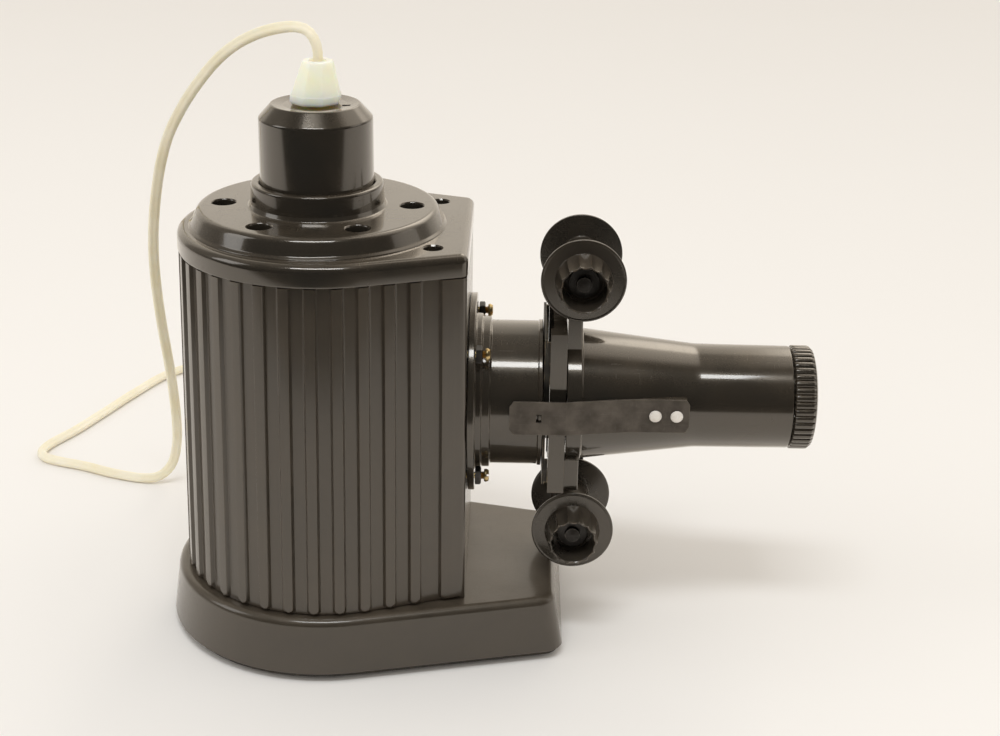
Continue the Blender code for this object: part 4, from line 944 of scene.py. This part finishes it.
def make_lamp_house():
    """The lamp house: flat-topped ribs with round feet standing between shallow flutes."""
    low_plan = Plan(HOUSE_CX, HOUSE_R[0], HOUSE_HIGH.x, HOUSE_HALF[0], HOUSE_CORNER)
    top_plan = Plan(HOUSE_CX, HOUSE_R[1], HOUSE_HIGH.x, HOUSE_HALF[1], HOUSE_CORNER)
    runs = rib_runs()
    corner_steps = 6
    flat = corner_steps + 1

    def whole(plan_shape):
        scale = plan_shape.half_run / (RIB_PITCH * (RIB_COUNT + 3) / 2)
        sides = [plan_shape.side_run(run * scale) for run, _ in runs]
        return plan_shape.corner_arc(1, corner_steps) + sides + plan_shape.corner_arc(-1, corner_steps)

    low, top = whole(low_plan), whole(top_plan)
    z0, z1 = HOUSE_LOW.z, HOUSE_HIGH.z
    reaches = [0.0] * flat + [reach for _, reach in runs] + [0.0] * flat

    def insets(rise):
        """How far each column lies below the rib tops at a rise above the foot."""
        end = RIB_W / 2 + RIB_SHOULDER / 2
        down = max(0.0, end - rise)
        depths = []
        for reach in reaches:
            away = math.hypot(reach, down) if reach < RIB_PITCH else 0.0
            share = min(max((away - RIB_W / 2 + RIB_SHOULDER / 2) / RIB_SHOULDER, 0.0), 1.0)
            depths.append(FLUTE_DEPTH * share * share * (3 - 2 * share))
        for k in (*range(flat), *range(-flat, 0)):
            depths[k] = 0.0
        return depths

    levels = list(FOOT_RISES) + [(z1 - z0) * k / 4 for k in (1, 2, 3, 4)]
    inner_low = at_level(low, z0 + HOUSE_FLOOR, HOUSE_WALL)
    inner_top = at_level(top, z1, HOUSE_WALL - 1.0)
    sections = []
    for rise in levels:
        soften = FOOT_SOFTENING if rise == 0 else 0.0
        ring = between(low, top, rise / (z1 - z0))
        sections.append(at_level(ring, z0 + rise, [d + soften for d in insets(rise)]))
    house = new_piece("fluted_house", *stacked([*sections, inner_top, inner_low]), "housing", "housing",
                      "bakelite", ("lamp_house",), sharp=50.0)
    back, front = HOUSE_HIGH.x - WINDOW_DEPTH, HOUSE_HIGH.x + 1
    window = [(back, 0), (back, WINDOW_R), (front, WINDOW_R), (front, 0)]
    shaped(house, cutter("X", (0, 0, AXIS_Z), window, 64))


def rib_runs():
    """Where the house's columns stand: (run from the corner, distance to the nearest rib's middle)."""
    first = 2 * RIB_PITCH
    last = first + (RIB_COUNT - 1) * RIB_PITCH
    whole_run = first + last
    half_rib = RIB_OFFSETS[len(RIB_OFFSETS) // 2 :]
    runs = [(run, 0.0) for run in STRIP_RUNS]
    runs += [(RIB_PITCH + offset - RIB_W / 2, offset) for offset in half_rib]
    for rib in range(RIB_COUNT):
        centre = first + rib * RIB_PITCH
        runs.append((centre - RIB_PITCH / 2 + FLUTE_EDGE, RIB_PITCH / 2))
        runs += [(centre + offset, abs(offset)) for offset in RIB_OFFSETS]
    runs.append((last + RIB_PITCH / 2 - FLUTE_EDGE, RIB_PITCH / 2))
    runs += [(whole_run - (RIB_PITCH + offset - RIB_W / 2), offset) for offset in reversed(half_rib)]
    runs += [(whole_run - run, 0.0) for run in reversed(STRIP_RUNS)]
    return runs


# ---------------------------------------------------------------- top cap and lampholder

CAP_ROUND = 3.4
CAP_RIM_H = 9.4
DISC_R = 53.0
DISC_H = 7.8
COLLAR_R = 27.6
VENT_COUNT = 6
VENT_R = 4.9
VENT_CIRCLE = 39.6
HOLDER_GAP = 0.3
HOLDER_SEAT_R = 18.0
HOLDER_BORE_R = 20.6
HOLDER_SLOPE_H = 5.8
HOLDER_TOP_R = 18.4
HOLDER_DISH_R = 13.2
HOLDER_DISH = 0.6
HOLDER_MOUTH_R = 4.6
HOLDER_CEILING_R = 15.0
HOLDER_ROOF = 4
NOTCH_X = (11.2, 14.6)
NOTCH_Y = (-3.2, -0.8)
NOTCH_DEPTH = 1.6
CAP_CORNER = 3.8
CAP_OVER_HOUSE = (0.3, 0.2)
CAP_HOLLOW_R = 49.0
CAP_SCREW_HOLE_R = 3.9
DISC_T = 3.2
TURN_STEPS = 144


def make_cap():
    """The cap: D-shaped rim, round raised disc with vents, and the collar that holds the lampholder."""
    cap_top = CAP_LOW.z + CAP_RIM_H
    disc_top = cap_top + DISC_H
    collar_top = CAP_HIGH.z
    seat = HOLDER_LOW.z - HOLDER_GAP
    bore = HOLDER_HIGH.x + HOLDER_GAP
    radius, half = HOUSE_R[1] + CAP_OVER_HOUSE[0], HOUSE_HALF[1] + CAP_OVER_HOUSE[1]
    outline = Plan(HOUSE_CX, radius, CAP_HIGH.x, half, CAP_CORNER).outline()
    sections = [at_level(outline, CAP_LOW.z, 0.9), at_level(outline, CAP_LOW.z + 0.3, 0.25),
                at_level(outline, CAP_LOW.z + 0.9, 0.0)]
    sections += fillet_levels(lambda z: outline, cap_top, CAP_ROUND, 7)
    cap = new_piece("vented_cap", *stacked(sections), "housing", "polished", "bakelite", ("top_cap",))
    disc = [
        (cap_top - 3, 0), (cap_top - 3, DISC_R - 3), (cap_top - 0.4, DISC_R - 2),
        (cap_top - 0.2, DISC_R + 1.4, 0.3), (cap_top + 0.3, DISC_R + 1.2, 0.8),
        (cap_top + 1.3, DISC_R + 0.1, 1.6), (disc_top, DISC_R - 3.0, 3.4), (disc_top, COLLAR_R + 1.4, 1.0),
        (disc_top + 1.9, COLLAR_R + 0.5, 0.5), (collar_top, COLLAR_R, 1.5), (collar_top, bore - 1, 0),
        (collar_top, 0),
    ]
    shaped(cap, loose(*turned_mesh("Z", (0, 0, 0), rounded(disc, 6), TURN_STEPS)), "UNION")
    hollow = [
        (CAP_LOW.z - 1, 0), (CAP_LOW.z - 1, CAP_HOLLOW_R), (disc_top - DISC_T, CAP_HOLLOW_R),
        (disc_top - DISC_T, HOLDER_SEAT_R), (seat, HOLDER_SEAT_R), (seat, bore), (collar_top - 0.7, bore),
        (collar_top + 0.3, bore + 1.0), (collar_top + 0.3, 0),
    ]
    shaped(cap, cutter("Z", (0, 0, 0), hollow, TURN_STEPS))
    holes = []
    for index in range(VENT_COUNT):
        angle = TAU * index / VENT_COUNT
        centre = (VENT_CIRCLE * math.cos(angle), VENT_CIRCLE * math.sin(angle), 0)
        profile = [(disc_top - 6, 0), (disc_top - 6, VENT_R), (disc_top - 0.9, VENT_R),
                   (disc_top - 0.35, VENT_R + 0.2), (disc_top + 0.3, VENT_R + 1.0), (disc_top + 0.3, 0)]
        holes.append(turned_mesh("Z", centre, profile, 36))
    for side in ("1", "2"):
        centre = centre_of("cap_screw_" + side)
        profile = [(CAP_LOW.z + 3, 0), (CAP_LOW.z + 3, CAP_SCREW_HOLE_R), (cap_top - 0.6, CAP_SCREW_HOLE_R),
                   (cap_top + 0.3, CAP_SCREW_HOLE_R + 0.8), (cap_top + 0.3, 0)]
        holes.append(turned_mesh("Z", (centre.x, centre.y, 0), profile, 32))
    shaped(cap, several(holes))


def make_lampholder():
    """The lampholder's turned outer body, open below: sloping shoulder, dished top and a small notch."""
    low, top = HOLDER_LOW.z, HOLDER_HIGH.z
    radius = HOLDER_HIGH.x
    shoulder = top - HOLDER_SLOPE_H
    dish = top - HOLDER_DISH
    ceiling = top - HOLDER_ROOF
    profile = [
        (low, radius, 0.4), (shoulder, radius - 0.1, 1.8), (top, HOLDER_TOP_R, 1.1),
        (dish, HOLDER_DISH_R, 0.6), (dish, HOLDER_MOUTH_R, 0.4), (ceiling, HOLDER_MOUTH_R),
        (ceiling, HOLDER_CEILING_R), (shoulder - HOLDER_ROOF, HOLDER_BORE_R), (low, HOLDER_BORE_R),
    ]
    holder = turned("lampholder_shell", "Z", (0, 0, 0), profile, "housing", "polished", "bakelite",
                    ("lampholder_body",), TURN_STEPS, arc=7)
    notch = slab((NOTCH_X[0], NOTCH_Y[0], top - NOTCH_DEPTH), (NOTCH_X[1], NOTCH_Y[1], top + 1))
    shaped(holder, loose(*notch))


# ---------------------------------------------------------------- condenser

FOOT_R = 33.0
FOOT_END = 74.0
FOOT_COLLAR = 1.3
FOOT_COLLAR_END = 5.4
TUBE_R = 31.4
TUBE_WALL = 2.4
TUBE_BEAD = 0.5
FLANGE_T = 3.0
FLANGE_BORE_R = 24.6
SHANK_R = 1.45
THREAD_R = (1.35, 1.75)
THREAD_PITCH = 0.4
THREAD_SHOWN = 1.1
NUT_SIDE = 0.96
SHANK_IN = 6.0
SCREW_HEAD_R = (2.6, 2.8, 2.3)
SCREW_HEAD_T = 1.3
SLOT_HALF = 0.42
SLOT_DEPTH = 1.1
SLOT_REACH = 3.4
SLOT_TURN = 35
SLOT_TURN_STEP = 70


def make_condenser():
    """The condenser's flanged tube with its stepped foot and end bead."""
    low, high = TUBE_LOW.x, TUBE_HIGH.x
    flange_r = TUBE_HIGH.z - AXIS_Z
    bore = TUBE_R - TUBE_WALL
    bead_r = TUBE_R + TUBE_BEAD
    profile = [
        (low, FLANGE_BORE_R), (low, flange_r, 0.4), (low + FLANGE_T, flange_r, 0.8),
        (low + FLANGE_T, FOOT_R + FOOT_COLLAR, 0.4), (low + FOOT_COLLAR_END, FOOT_R + FOOT_COLLAR - 0.1, 0.5),
        (low + FOOT_COLLAR_END + 0.4, FOOT_R, 0.4), (FOOT_END - 0.3, FOOT_R, 0.6), (FOOT_END, TUBE_R, 0.5),
        (high - 1.9, TUBE_R, 0.4),
        (high - 1.6, bead_r, 0.3), (high, bead_r, 0.4), (high, bore, 0.5), (low + 2 * FLANGE_T, bore),
        (low + 2 * FLANGE_T, FLANGE_BORE_R),
    ]
    turned("condenser_barrel", "X", (0, 0, AXIS_Z), profile, "housing", "polished", "bakelite",
           ("condenser_tube",), TURN_STEPS)
    for index in range(1, 5):
        spot = centre_of(f"condenser_nut_{index}")
        make_nut(index, spot)


def make_nut(index, spot):
    """A square nut, and the brass screw that runs out through it, each with its slot at another turn."""
    node_low, node_high = extent(f"condenser_nut_{index}")
    half = (node_high.z - node_low.z) / 2
    low, high = node_low.x, node_high.x
    side = half * NUT_SIDE
    sections = []
    for x, reach, corner in ((low, side * 0.94, 1.0), (low + 0.3, side, 0.5), (high - 0.4, side, 0.5),
                             (high, side * 0.9, 1.2)):
        outline = box_outline((-reach, -reach), (reach, reach), corner, 3)
        sections.append([(x, spot.y + a, spot.z + b) for a, b in outline])
    new_piece(f"square_nut_{index}", *stacked(sections), "housing", "dark_steel", "dark_steel",
              (f"condenser_nut_{index}",))
    screw_high = extent(f"condenser_screw_{index}")[1].x
    shank = [(low - SHANK_IN, 0), (low - SHANK_IN, SHANK_R)]
    x = high
    while x < high + THREAD_SHOWN:
        shank += [(x, THREAD_R[0]), (x + THREAD_PITCH / 2, THREAD_R[1])]
        x += THREAD_PITCH
    foot_r, wide_r, top_r = SCREW_HEAD_R
    shank += [(x, 1.5), (x + 0.1, foot_r, 0.2), (screw_high - SCREW_HEAD_T, wide_r, 0.35),
              (screw_high - 0.2, top_r, 0.4), (screw_high, 0)]
    screw = turned(f"brass_screw_{index}", "X", (0, spot.y, spot.z), shank, "housing", "brass", "brass",
                   (f"condenser_screw_{index}",), 32, arc=3)
    points, faces = slab((screw_high - SLOT_DEPTH, -SLOT_HALF, -SLOT_REACH),
                         (screw_high + 1, SLOT_HALF, SLOT_REACH))
    spin = Matrix.Rotation(math.radians(SLOT_TURN + SLOT_TURN_STEP * index), 3, "X")
    points = [tuple(spin @ Vector(p) + Vector((0, spot.y, spot.z))) for p in points]
    shaped(screw, loose(points, faces))


# ---------------------------------------------------------------- pressure plate

PLATE_FOLD = 1.35
PLATE_EDGE = 1.1
PLATE_GAP = (85.0, 100.5)
PLATE_WINDOW = (11.6, 17.5)
PLATE_CORNER = 1.4


def make_pressure_plate():
    """The sprung plate of the gate, its side edges folded in towards the film apart from one gap."""
    low, high = extent("pressure_plate")
    outline = box_outline((low.y, low.z), (high.y, high.z), PLATE_CORNER, 4)
    sections = [[(x, y, z) for y, z in outline] for x in (low.x, high.x)]
    plate = new_piece("sprung_plate", *stacked(sections), "film_head", "plate", "dark_steel",
                      ("pressure_plate",))
    half_y, half_z = PLATE_WINDOW
    window = slab((low.x - 1, -half_y, AXIS_Z - half_z), (high.x + 1, half_y, AXIS_Z + half_z))
    shaped(plate, loose(*window))
    for side in (1, -1):
        for bottom, top in ((low.z + PLATE_CORNER, PLATE_GAP[0]), (PLATE_GAP[1], high.z - PLATE_CORNER)):
            inner, outer = sorted((side * (high.y - PLATE_EDGE), side * (high.y - 0.02)))
            fold = slab((high.x - 0.3, inner, bottom), (high.x + PLATE_FOLD, outer, top))
            shaped(plate, loose(*fold), "UNION")
    bevelled(plate, 0.3, 2)


# ---------------------------------------------------------------- lens carrier and objective

DISC_LENGTH = 6.4
CARRIER_DISC_R = 30.0
CARRIER_BORE_R = 24.5
CONE_R = 28.5
CONE_END = 164.0
CONE_BLEND = 36.0
CONE_WALL = 2.6
BARREL_R = 22.3
BARREL_BORE_R = 18.9
TONGUE_HALF = 15.0
TONGUE_Z = (24.0, 40.0)
PAD_START = 138.6
PAD_Y = (20.0, 27.1)
RING_LENGTH = 10.5
RING_R = 22.6
RING_RIBS = 44
RING_RIB_DEPTH = 1.0
RING_RIB_FLATNESS = 0.45
OBJECTIVE_R = 18.6


def make_carrier():
    """The lens carrier: a disc with tongues against the gate, a long cone and the objective's barrel."""
    disc_x, disc_end = CARRIER_LOW.x, CARRIER_LOW.x + DISC_LENGTH
    barrel_end = OBJECTIVE_HIGH.x - RING_LENGTH
    profile = [
        (disc_x, CARRIER_BORE_R), (disc_x, CARRIER_DISC_R, 0.4), (disc_end, CARRIER_DISC_R, 0.7),
        (disc_end + 0.3, CONE_R, 0.6), (CONE_END - 2, BARREL_R + 0.3, CONE_BLEND),
        (barrel_end, BARREL_R, 0.5),
        (barrel_end, BARREL_BORE_R), (CONE_END - 4, BARREL_BORE_R),
        (disc_end + 4, CONE_R - CONE_WALL - 0.6),
    ]
    carrier = turned("lens_carrier_shell", "X", (0, 0, AXIS_Z), profile, "film_head", "polished",
                     "bakelite", ("lens_carrier",), 160, arc=12)
    for end in (1, -1):
        z_low, z_high = sorted((AXIS_Z + end * TONGUE_Z[0], AXIS_Z + end * TONGUE_Z[1]))
        tip = disc_end - 0.2
        outline = rounded([(disc_x, -TONGUE_HALF, 0), (tip, -TONGUE_HALF, 1.0), (tip, TONGUE_HALF, 1.0),
                           (disc_x, TONGUE_HALF, 0)], 4)
        sections = [[(x, y, z) for x, y in outline] for z in (z_low, z_high)]
        shaped(carrier, loose(*stacked(sections)), "UNION")
    spring_low, spring_high = extent("leaf_spring_near")
    for side in (1, -1):
        inner, outer = sorted((side * PAD_Y[0], side * PAD_Y[1]))
        pad = slab((PAD_START, inner, spring_low.z + 1), (spring_high.x - 1, outer, spring_high.z - 1))
        shaped(carrier, loose(*pad), "UNION")


def make_objective():
    """The sliding objective: its barrel and the finely ribbed focusing ring."""
    low, high = OBJECTIVE_LOW.x, OBJECTIVE_HIGH.x
    ring_low = high - RING_LENGTH

    def ribbed(along, radius, angle):
        if radius < OBJECTIVE_R + 2 or along < ring_low + 0.9 or along > high - 1.0:
            return radius
        wave = abs(math.sin(angle * RING_RIBS / 2))
        return radius - RING_RIB_DEPTH * (1 - wave**RING_RIB_FLATNESS)

    profile = [
        (low, OBJECTIVE_R - 1.8), (low, OBJECTIVE_R, 0.3), (ring_low + 0.5, OBJECTIVE_R),
        (ring_low + 0.5, RING_R - 1.2, 0.3), (ring_low + 1.2, RING_R, 0.5), (ring_low + 2.4, RING_R),
        (high - 3.4, RING_R), (high - 2.0, RING_R - 0.1, 0.6), (high - 0.6, RING_R - 1.3, 0.7),
        (high, RING_R - 3.0, 0.5), (high, OBJECTIVE_R - 1.2, 0.4), (high - 4, OBJECTIVE_R - 1.8),
    ]
    turned("focusing_objective", "X", (0, 0, AXIS_Z), profile, "objective", "polished", "bakelite",
           ("objective_tube",), RING_RIBS * 10, ribbed, arc=3)


# ---------------------------------------------------------------- spools

KNOB_FLUTES = 14
SPOOL_HALF = 19.0
SPOOL_FLANGE_T = 1.4
SPOOL_CORE_R = 8.3
SPOOL_BORE = 3.7
KNOB_R = (11.9, 10.8)
KNOB_BORE_R = 9.2
KNOB_FLUTE_DEPTH = 1.0
KNOB_FLUTE_FLATNESS = 0.8
KNOB_FLUTE_START = 0.8
KNOB_FLUTE_FADE = 1.6


def make_spool(name):
    """A film spool: two thin flanges on a core, and a hollow fluted knob on the near side."""
    low, high = extent(name)
    centre = ((low.x + high.x) / 2, 0, (low.z + high.z) / 2)
    radius = (high.x - low.x) / 2
    inner = SPOOL_HALF - SPOOL_FLANGE_T
    knob_end = low.y

    def fluted(along, r, angle):
        past = -SPOOL_HALF - KNOB_FLUTE_START - along
        if past < 0 or r < KNOB_BORE_R + 0.9:
            return r
        wave = abs(math.sin(KNOB_FLUTES * angle / 2)) ** KNOB_FLUTE_FLATNESS
        return r - KNOB_FLUTE_DEPTH * min(past / KNOB_FLUTE_FADE, 1.0) * wave

    profile = [
        (-SPOOL_HALF + 2, SPOOL_BORE), (-SPOOL_HALF + 2, KNOB_BORE_R), (knob_end + 0.6, KNOB_BORE_R, 0.3),
        (knob_end, KNOB_BORE_R + 0.5, 0.2), (knob_end, KNOB_R[1] - 0.15, 0.45), (knob_end + 2.0, KNOB_R[1]),
        (knob_end + 5.0, KNOB_R[1] + 0.25),
        (-SPOOL_HALF - 4.0, KNOB_R[0] - 0.25), (-SPOOL_HALF - 2.0, KNOB_R[0]),
        (-SPOOL_HALF - 0.1, KNOB_R[0] + 0.1, 0.3), (-SPOOL_HALF + 0.15, radius - 1.2, 0.2),
        (-SPOOL_HALF, radius - 0.6, 0.2), (-SPOOL_HALF + 0.1, radius, 0.4), (-inner - 0.1, radius, 0.4),
        (-inner, radius - 0.8, 0.2), (-inner, SPOOL_CORE_R, 0.5), (inner, SPOOL_CORE_R, 0.5),
        (inner, radius - 0.8, 0.2), (inner + 0.1, radius, 0.4), (SPOOL_HALF - 0.1, radius, 0.4),
        (SPOOL_HALF, radius - 0.8, 0.2), (SPOOL_HALF, SPOOL_BORE, 0.3),
    ]
    turned(name + "_moulding", "Y", centre, profile, name + "_body", "spool", "bakelite", (name,),
           KNOB_FLUTES * 12, fluted, arc=3)


# ---------------------------------------------------------------- the object

make_base()
make_lamp_house()
make_cap()
make_lampholder()
make_condenser()
make_pressure_plate()
make_carrier()
make_objective()
for spool in ("top_spool", "bottom_spool"):
    make_spool(spool)

CAD_FINISHES = {
    "base_plate": ("board", 0.3),
    "gate_body": ("polished", 0.6),
    "spool_bracket": ("dark_steel", 0.4),
    "leaf_spring_near": ("spring_steel", 0.18),
    "leaf_spring_far": ("spring_steel", 0.18),
    "reflector": ("bright_steel", 0.0),
    "reflector_bracket": ("bright_steel", 0.2),
    "ceramic_insert": ("ceramic", 0.4),
    "centre_contact": ("brass", 0.0),
    "thread_liner": ("brass", 0.0),
    "lamp_cap": ("brass", 0.0),
    "lamp_glass": ("bulb", 0.0),
    "lampholder_skirt": ("polished", 0.3),
    "condenser_ring": ("polished", 0.2),
    "objective_sleeve": ("polished", 0.2),
    "objective_ring": ("polished", 0.2),
    "lens_spacer": ("aluminium", 0.2),
    "condenser_lens_rear": ("lens", 0.0),
    "condenser_lens_front": ("lens", 0.0),
    "objective_lens_front": ("lens", 0.0),
    "objective_lens_rear": ("lens", 0.0),
    "top_spool_clip": ("dark_steel", 0.0),
    "bottom_spool_clip": ("dark_steel", 0.0),
    "foot_": ("rubber", 0.0),
    "base_screw_": ("dark_steel", 0.0),
    "cap_screw_": ("brass", 0.0),
    "rivet_": ("aluminium", 0.0),
    "bracket_screw_": ("dark_steel", 0.0),
}


def dress_cad_nodes():
    """Gives every CAD node that still shows its finish, and rounds its edges a little."""
    for name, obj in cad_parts.items():
        if obj.hide_render:
            continue
        key = next(k for k in CAD_FINISHES if name == k or (k.endswith("_") and name.startswith(k)))
        finish_name, width = CAD_FINISHES[key]
        obj.data.materials.clear()
        obj.data.materials.append(MATERIALS[finish_name])
        for face in obj.data.polygons:
            face.material_index = 0
        obj.data.shade_smooth()
        obj.data.set_sharp_from_angle(angle=math.radians(SHARP))
        if width:
            bevelled(obj, width)


dress_cad_nodes()

# ---------------------------------------------------------------- stage and light

# Where the painted shade on the floor sets in, in front of the object, and how softly it fades in.
SHADE_LINE_Y = -0.455
SHADE_LINE_SOFT = 0.08
FLOOR_HALF = 6.0
FLOOR_CELLS = 24


def make_stage():
    """A wide pale floor; in reflections and bounced light it is painted near black in front of a line before
    the object, painted shade for a dark front.
    """
    points = []
    faces = []
    cells = FLOOR_CELLS
    for row in range(cells + 1):
        for column in range(cells + 1):
            points.append((FLOOR_HALF * (2 * column / cells - 1), FLOOR_HALF * (2 * row / cells - 1), 0.0))
    for row in range(cells):
        for column in range(cells):
            low = row * (cells + 1) + column
            faces.append((low, low + 1, low + cells + 2, low + cells + 1))
    mesh = bpy.data.meshes.new("pale_floor")
    mesh.from_pydata(points, [], faces)
    mesh.shade_smooth()
    floor = bpy.data.objects.new("pale_floor", mesh)
    bpy.context.scene.collection.objects.link(floor)
    material, tree, sockets = new_material("pale_paper", Specular_IOR_Level=0.1)
    paper = blended(tree, noise(tree, 3.0, detail=2.0), (0.862, 0.842, 0.815), (0.872, 0.854, 0.830))
    place = node(tree, "SeparateXYZ")
    feed(tree, place.inputs[0], node(tree, "NewGeometry").outputs["Position"])
    # Painted shade: past the line in front, the floor turns near black for every ray but the camera's, so
    # gloss mirrors a dark front.
    beyond = mapped(tree, place.outputs["Y"], SHADE_LINE_Y + SHADE_LINE_SOFT, SHADE_LINE_Y)
    felt_only = math_node(tree, "SUBTRACT", 1.0, node(tree, "LightPath").outputs["Is Camera Ray"])
    painted_dark = math_node(tree, "MULTIPLY", beyond, felt_only)
    feed(tree, sockets["Base Color"], blended(tree, painted_dark, paper, (0.02, 0.02, 0.02)))
    feed(tree, sockets["Roughness"], mapped(tree, noise(tree, 40.0), 0.3, 0.7, 0.85, 0.95))
    raised(tree, sockets, noise(tree, 900.0), 0.02, 0.0002)
    mesh.materials.append(material)


PANEL_AIM = (0.0, 0.0, 0.1)
# Each light's name, place, size, power and colour.
PANELS = (
    ("high_front_panel", (-0.12, -0.98, 2.25), (1.2, 0.36), 17.5, (0.92, 0.96, 1.0)),
    ("left_window", (-2.9, -0.5, 1.9), (1.3, 1.6), 14.0, (0.96, 0.98, 1.0)),
    ("right_wall", (3.0, 0.3, 1.2), (1.6, 1.4), 5.0, (1.0, 0.96, 0.90)),
)


def add_panel(name, place, size, power, colour):
    """A soft rectangular light that faces the object."""
    data = bpy.data.lights.new(name, "AREA")
    data.shape = "RECTANGLE"
    data.size, data.size_y = size
    data.energy = power
    data.color = colour
    panel = bpy.data.objects.new(name, data)
    bpy.context.scene.collection.objects.link(panel)
    panel.location = place
    panel.rotation_euler = (Vector(PANEL_AIM) - Vector(place)).to_track_quat("-Z", "Y").to_euler()
    panel.visible_camera = False


SKY = (
    (0.40, (0.020, 0.019, 0.018)), (0.50, (0.20, 0.185, 0.165)), (0.76, (0.31, 0.29, 0.26)),
    (0.83, (0.80, 0.745, 0.66)), (0.97, (1.0, 0.93, 0.82)),
)
SKY_STRENGTH = 0.96
EVEN_SKY = (0.76, 0.72, 0.67, 1.0)
BACKDROP = (0.80, 0.775, 0.735, 1.0)
# The bright patch that gloss mirrors, up behind on the right: its strength and where it sets in.
GLOW = 5.0
GLOW_X = (0.145, 0.175)
GLOW_Y = (-0.05, 0.15)
GLOW_Z = (0.30, 0.80)


def make_world():
    """Pale surroundings to the eye, even light on matt faces; in gloss, bright behind and dim in front."""
    world = bpy.data.worlds.new("studio")
    world.use_nodes = True
    tree = world.node_tree
    tree.nodes.clear()
    place = node(tree, "SeparateXYZ")
    feed(tree, place.inputs[0], node(tree, "TexCoord").outputs["Generated"])
    ramp = node(tree, "ValToRGB")
    ramp.color_ramp.interpolation = "EASE"
    stops = ramp.color_ramp.elements
    stops[0].position, stops[0].color = SKY[0][0], (*SKY[0][1], 1)
    stops[1].position, stops[1].color = SKY[-1][0], (*SKY[-1][1], 1)
    for position, colour in SKY[1:-1]:
        stops.new(position).color = (*colour, 1)
    feed(tree, ramp.inputs[0], mapped(tree, place.outputs["Y"], -1.0, 1.0))
    aside = mapped(tree, place.outputs["X"], *GLOW_X)
    aloft = mapped(tree, place.outputs["Z"], *GLOW_Z)
    behind = mapped(tree, place.outputs["Y"], *GLOW_Y)
    glow = math_node(tree, "MULTIPLY", math_node(tree, "MULTIPLY", aside, aloft), behind)
    seen = node(tree, "Background")
    feed(tree, seen.inputs["Color"], BACKDROP)
    felt = node(tree, "Background")
    feed(tree, felt.inputs["Color"], ramp.outputs[0])
    strength = math_node(tree, "ADD", SKY_STRENGTH, math_node(tree, "MULTIPLY", glow, GLOW))
    feed(tree, felt.inputs["Strength"], strength)
    even = node(tree, "Background")
    feed(tree, even.inputs["Color"], EVEN_SKY)
    path = node(tree, "LightPath")
    chosen = felt.outputs[0]
    for ray, shader in (("Is Diffuse Ray", even), ("Is Camera Ray", seen)):
        choose = node(tree, "MixShader")
        feed(tree, choose.inputs[0], path.outputs[ray])
        feed(tree, choose.inputs[1], chosen)
        feed(tree, choose.inputs[2], shader.outputs[0])
        chosen = choose.outputs[0]
    feed(tree, node(tree, "OutputWorld").inputs["Surface"], chosen)
    bpy.context.scene.world = world


make_stage()
make_world()
for panel in PANELS:
    add_panel(*panel)
bpy.context.scene.view_settings.view_transform = "Standard"
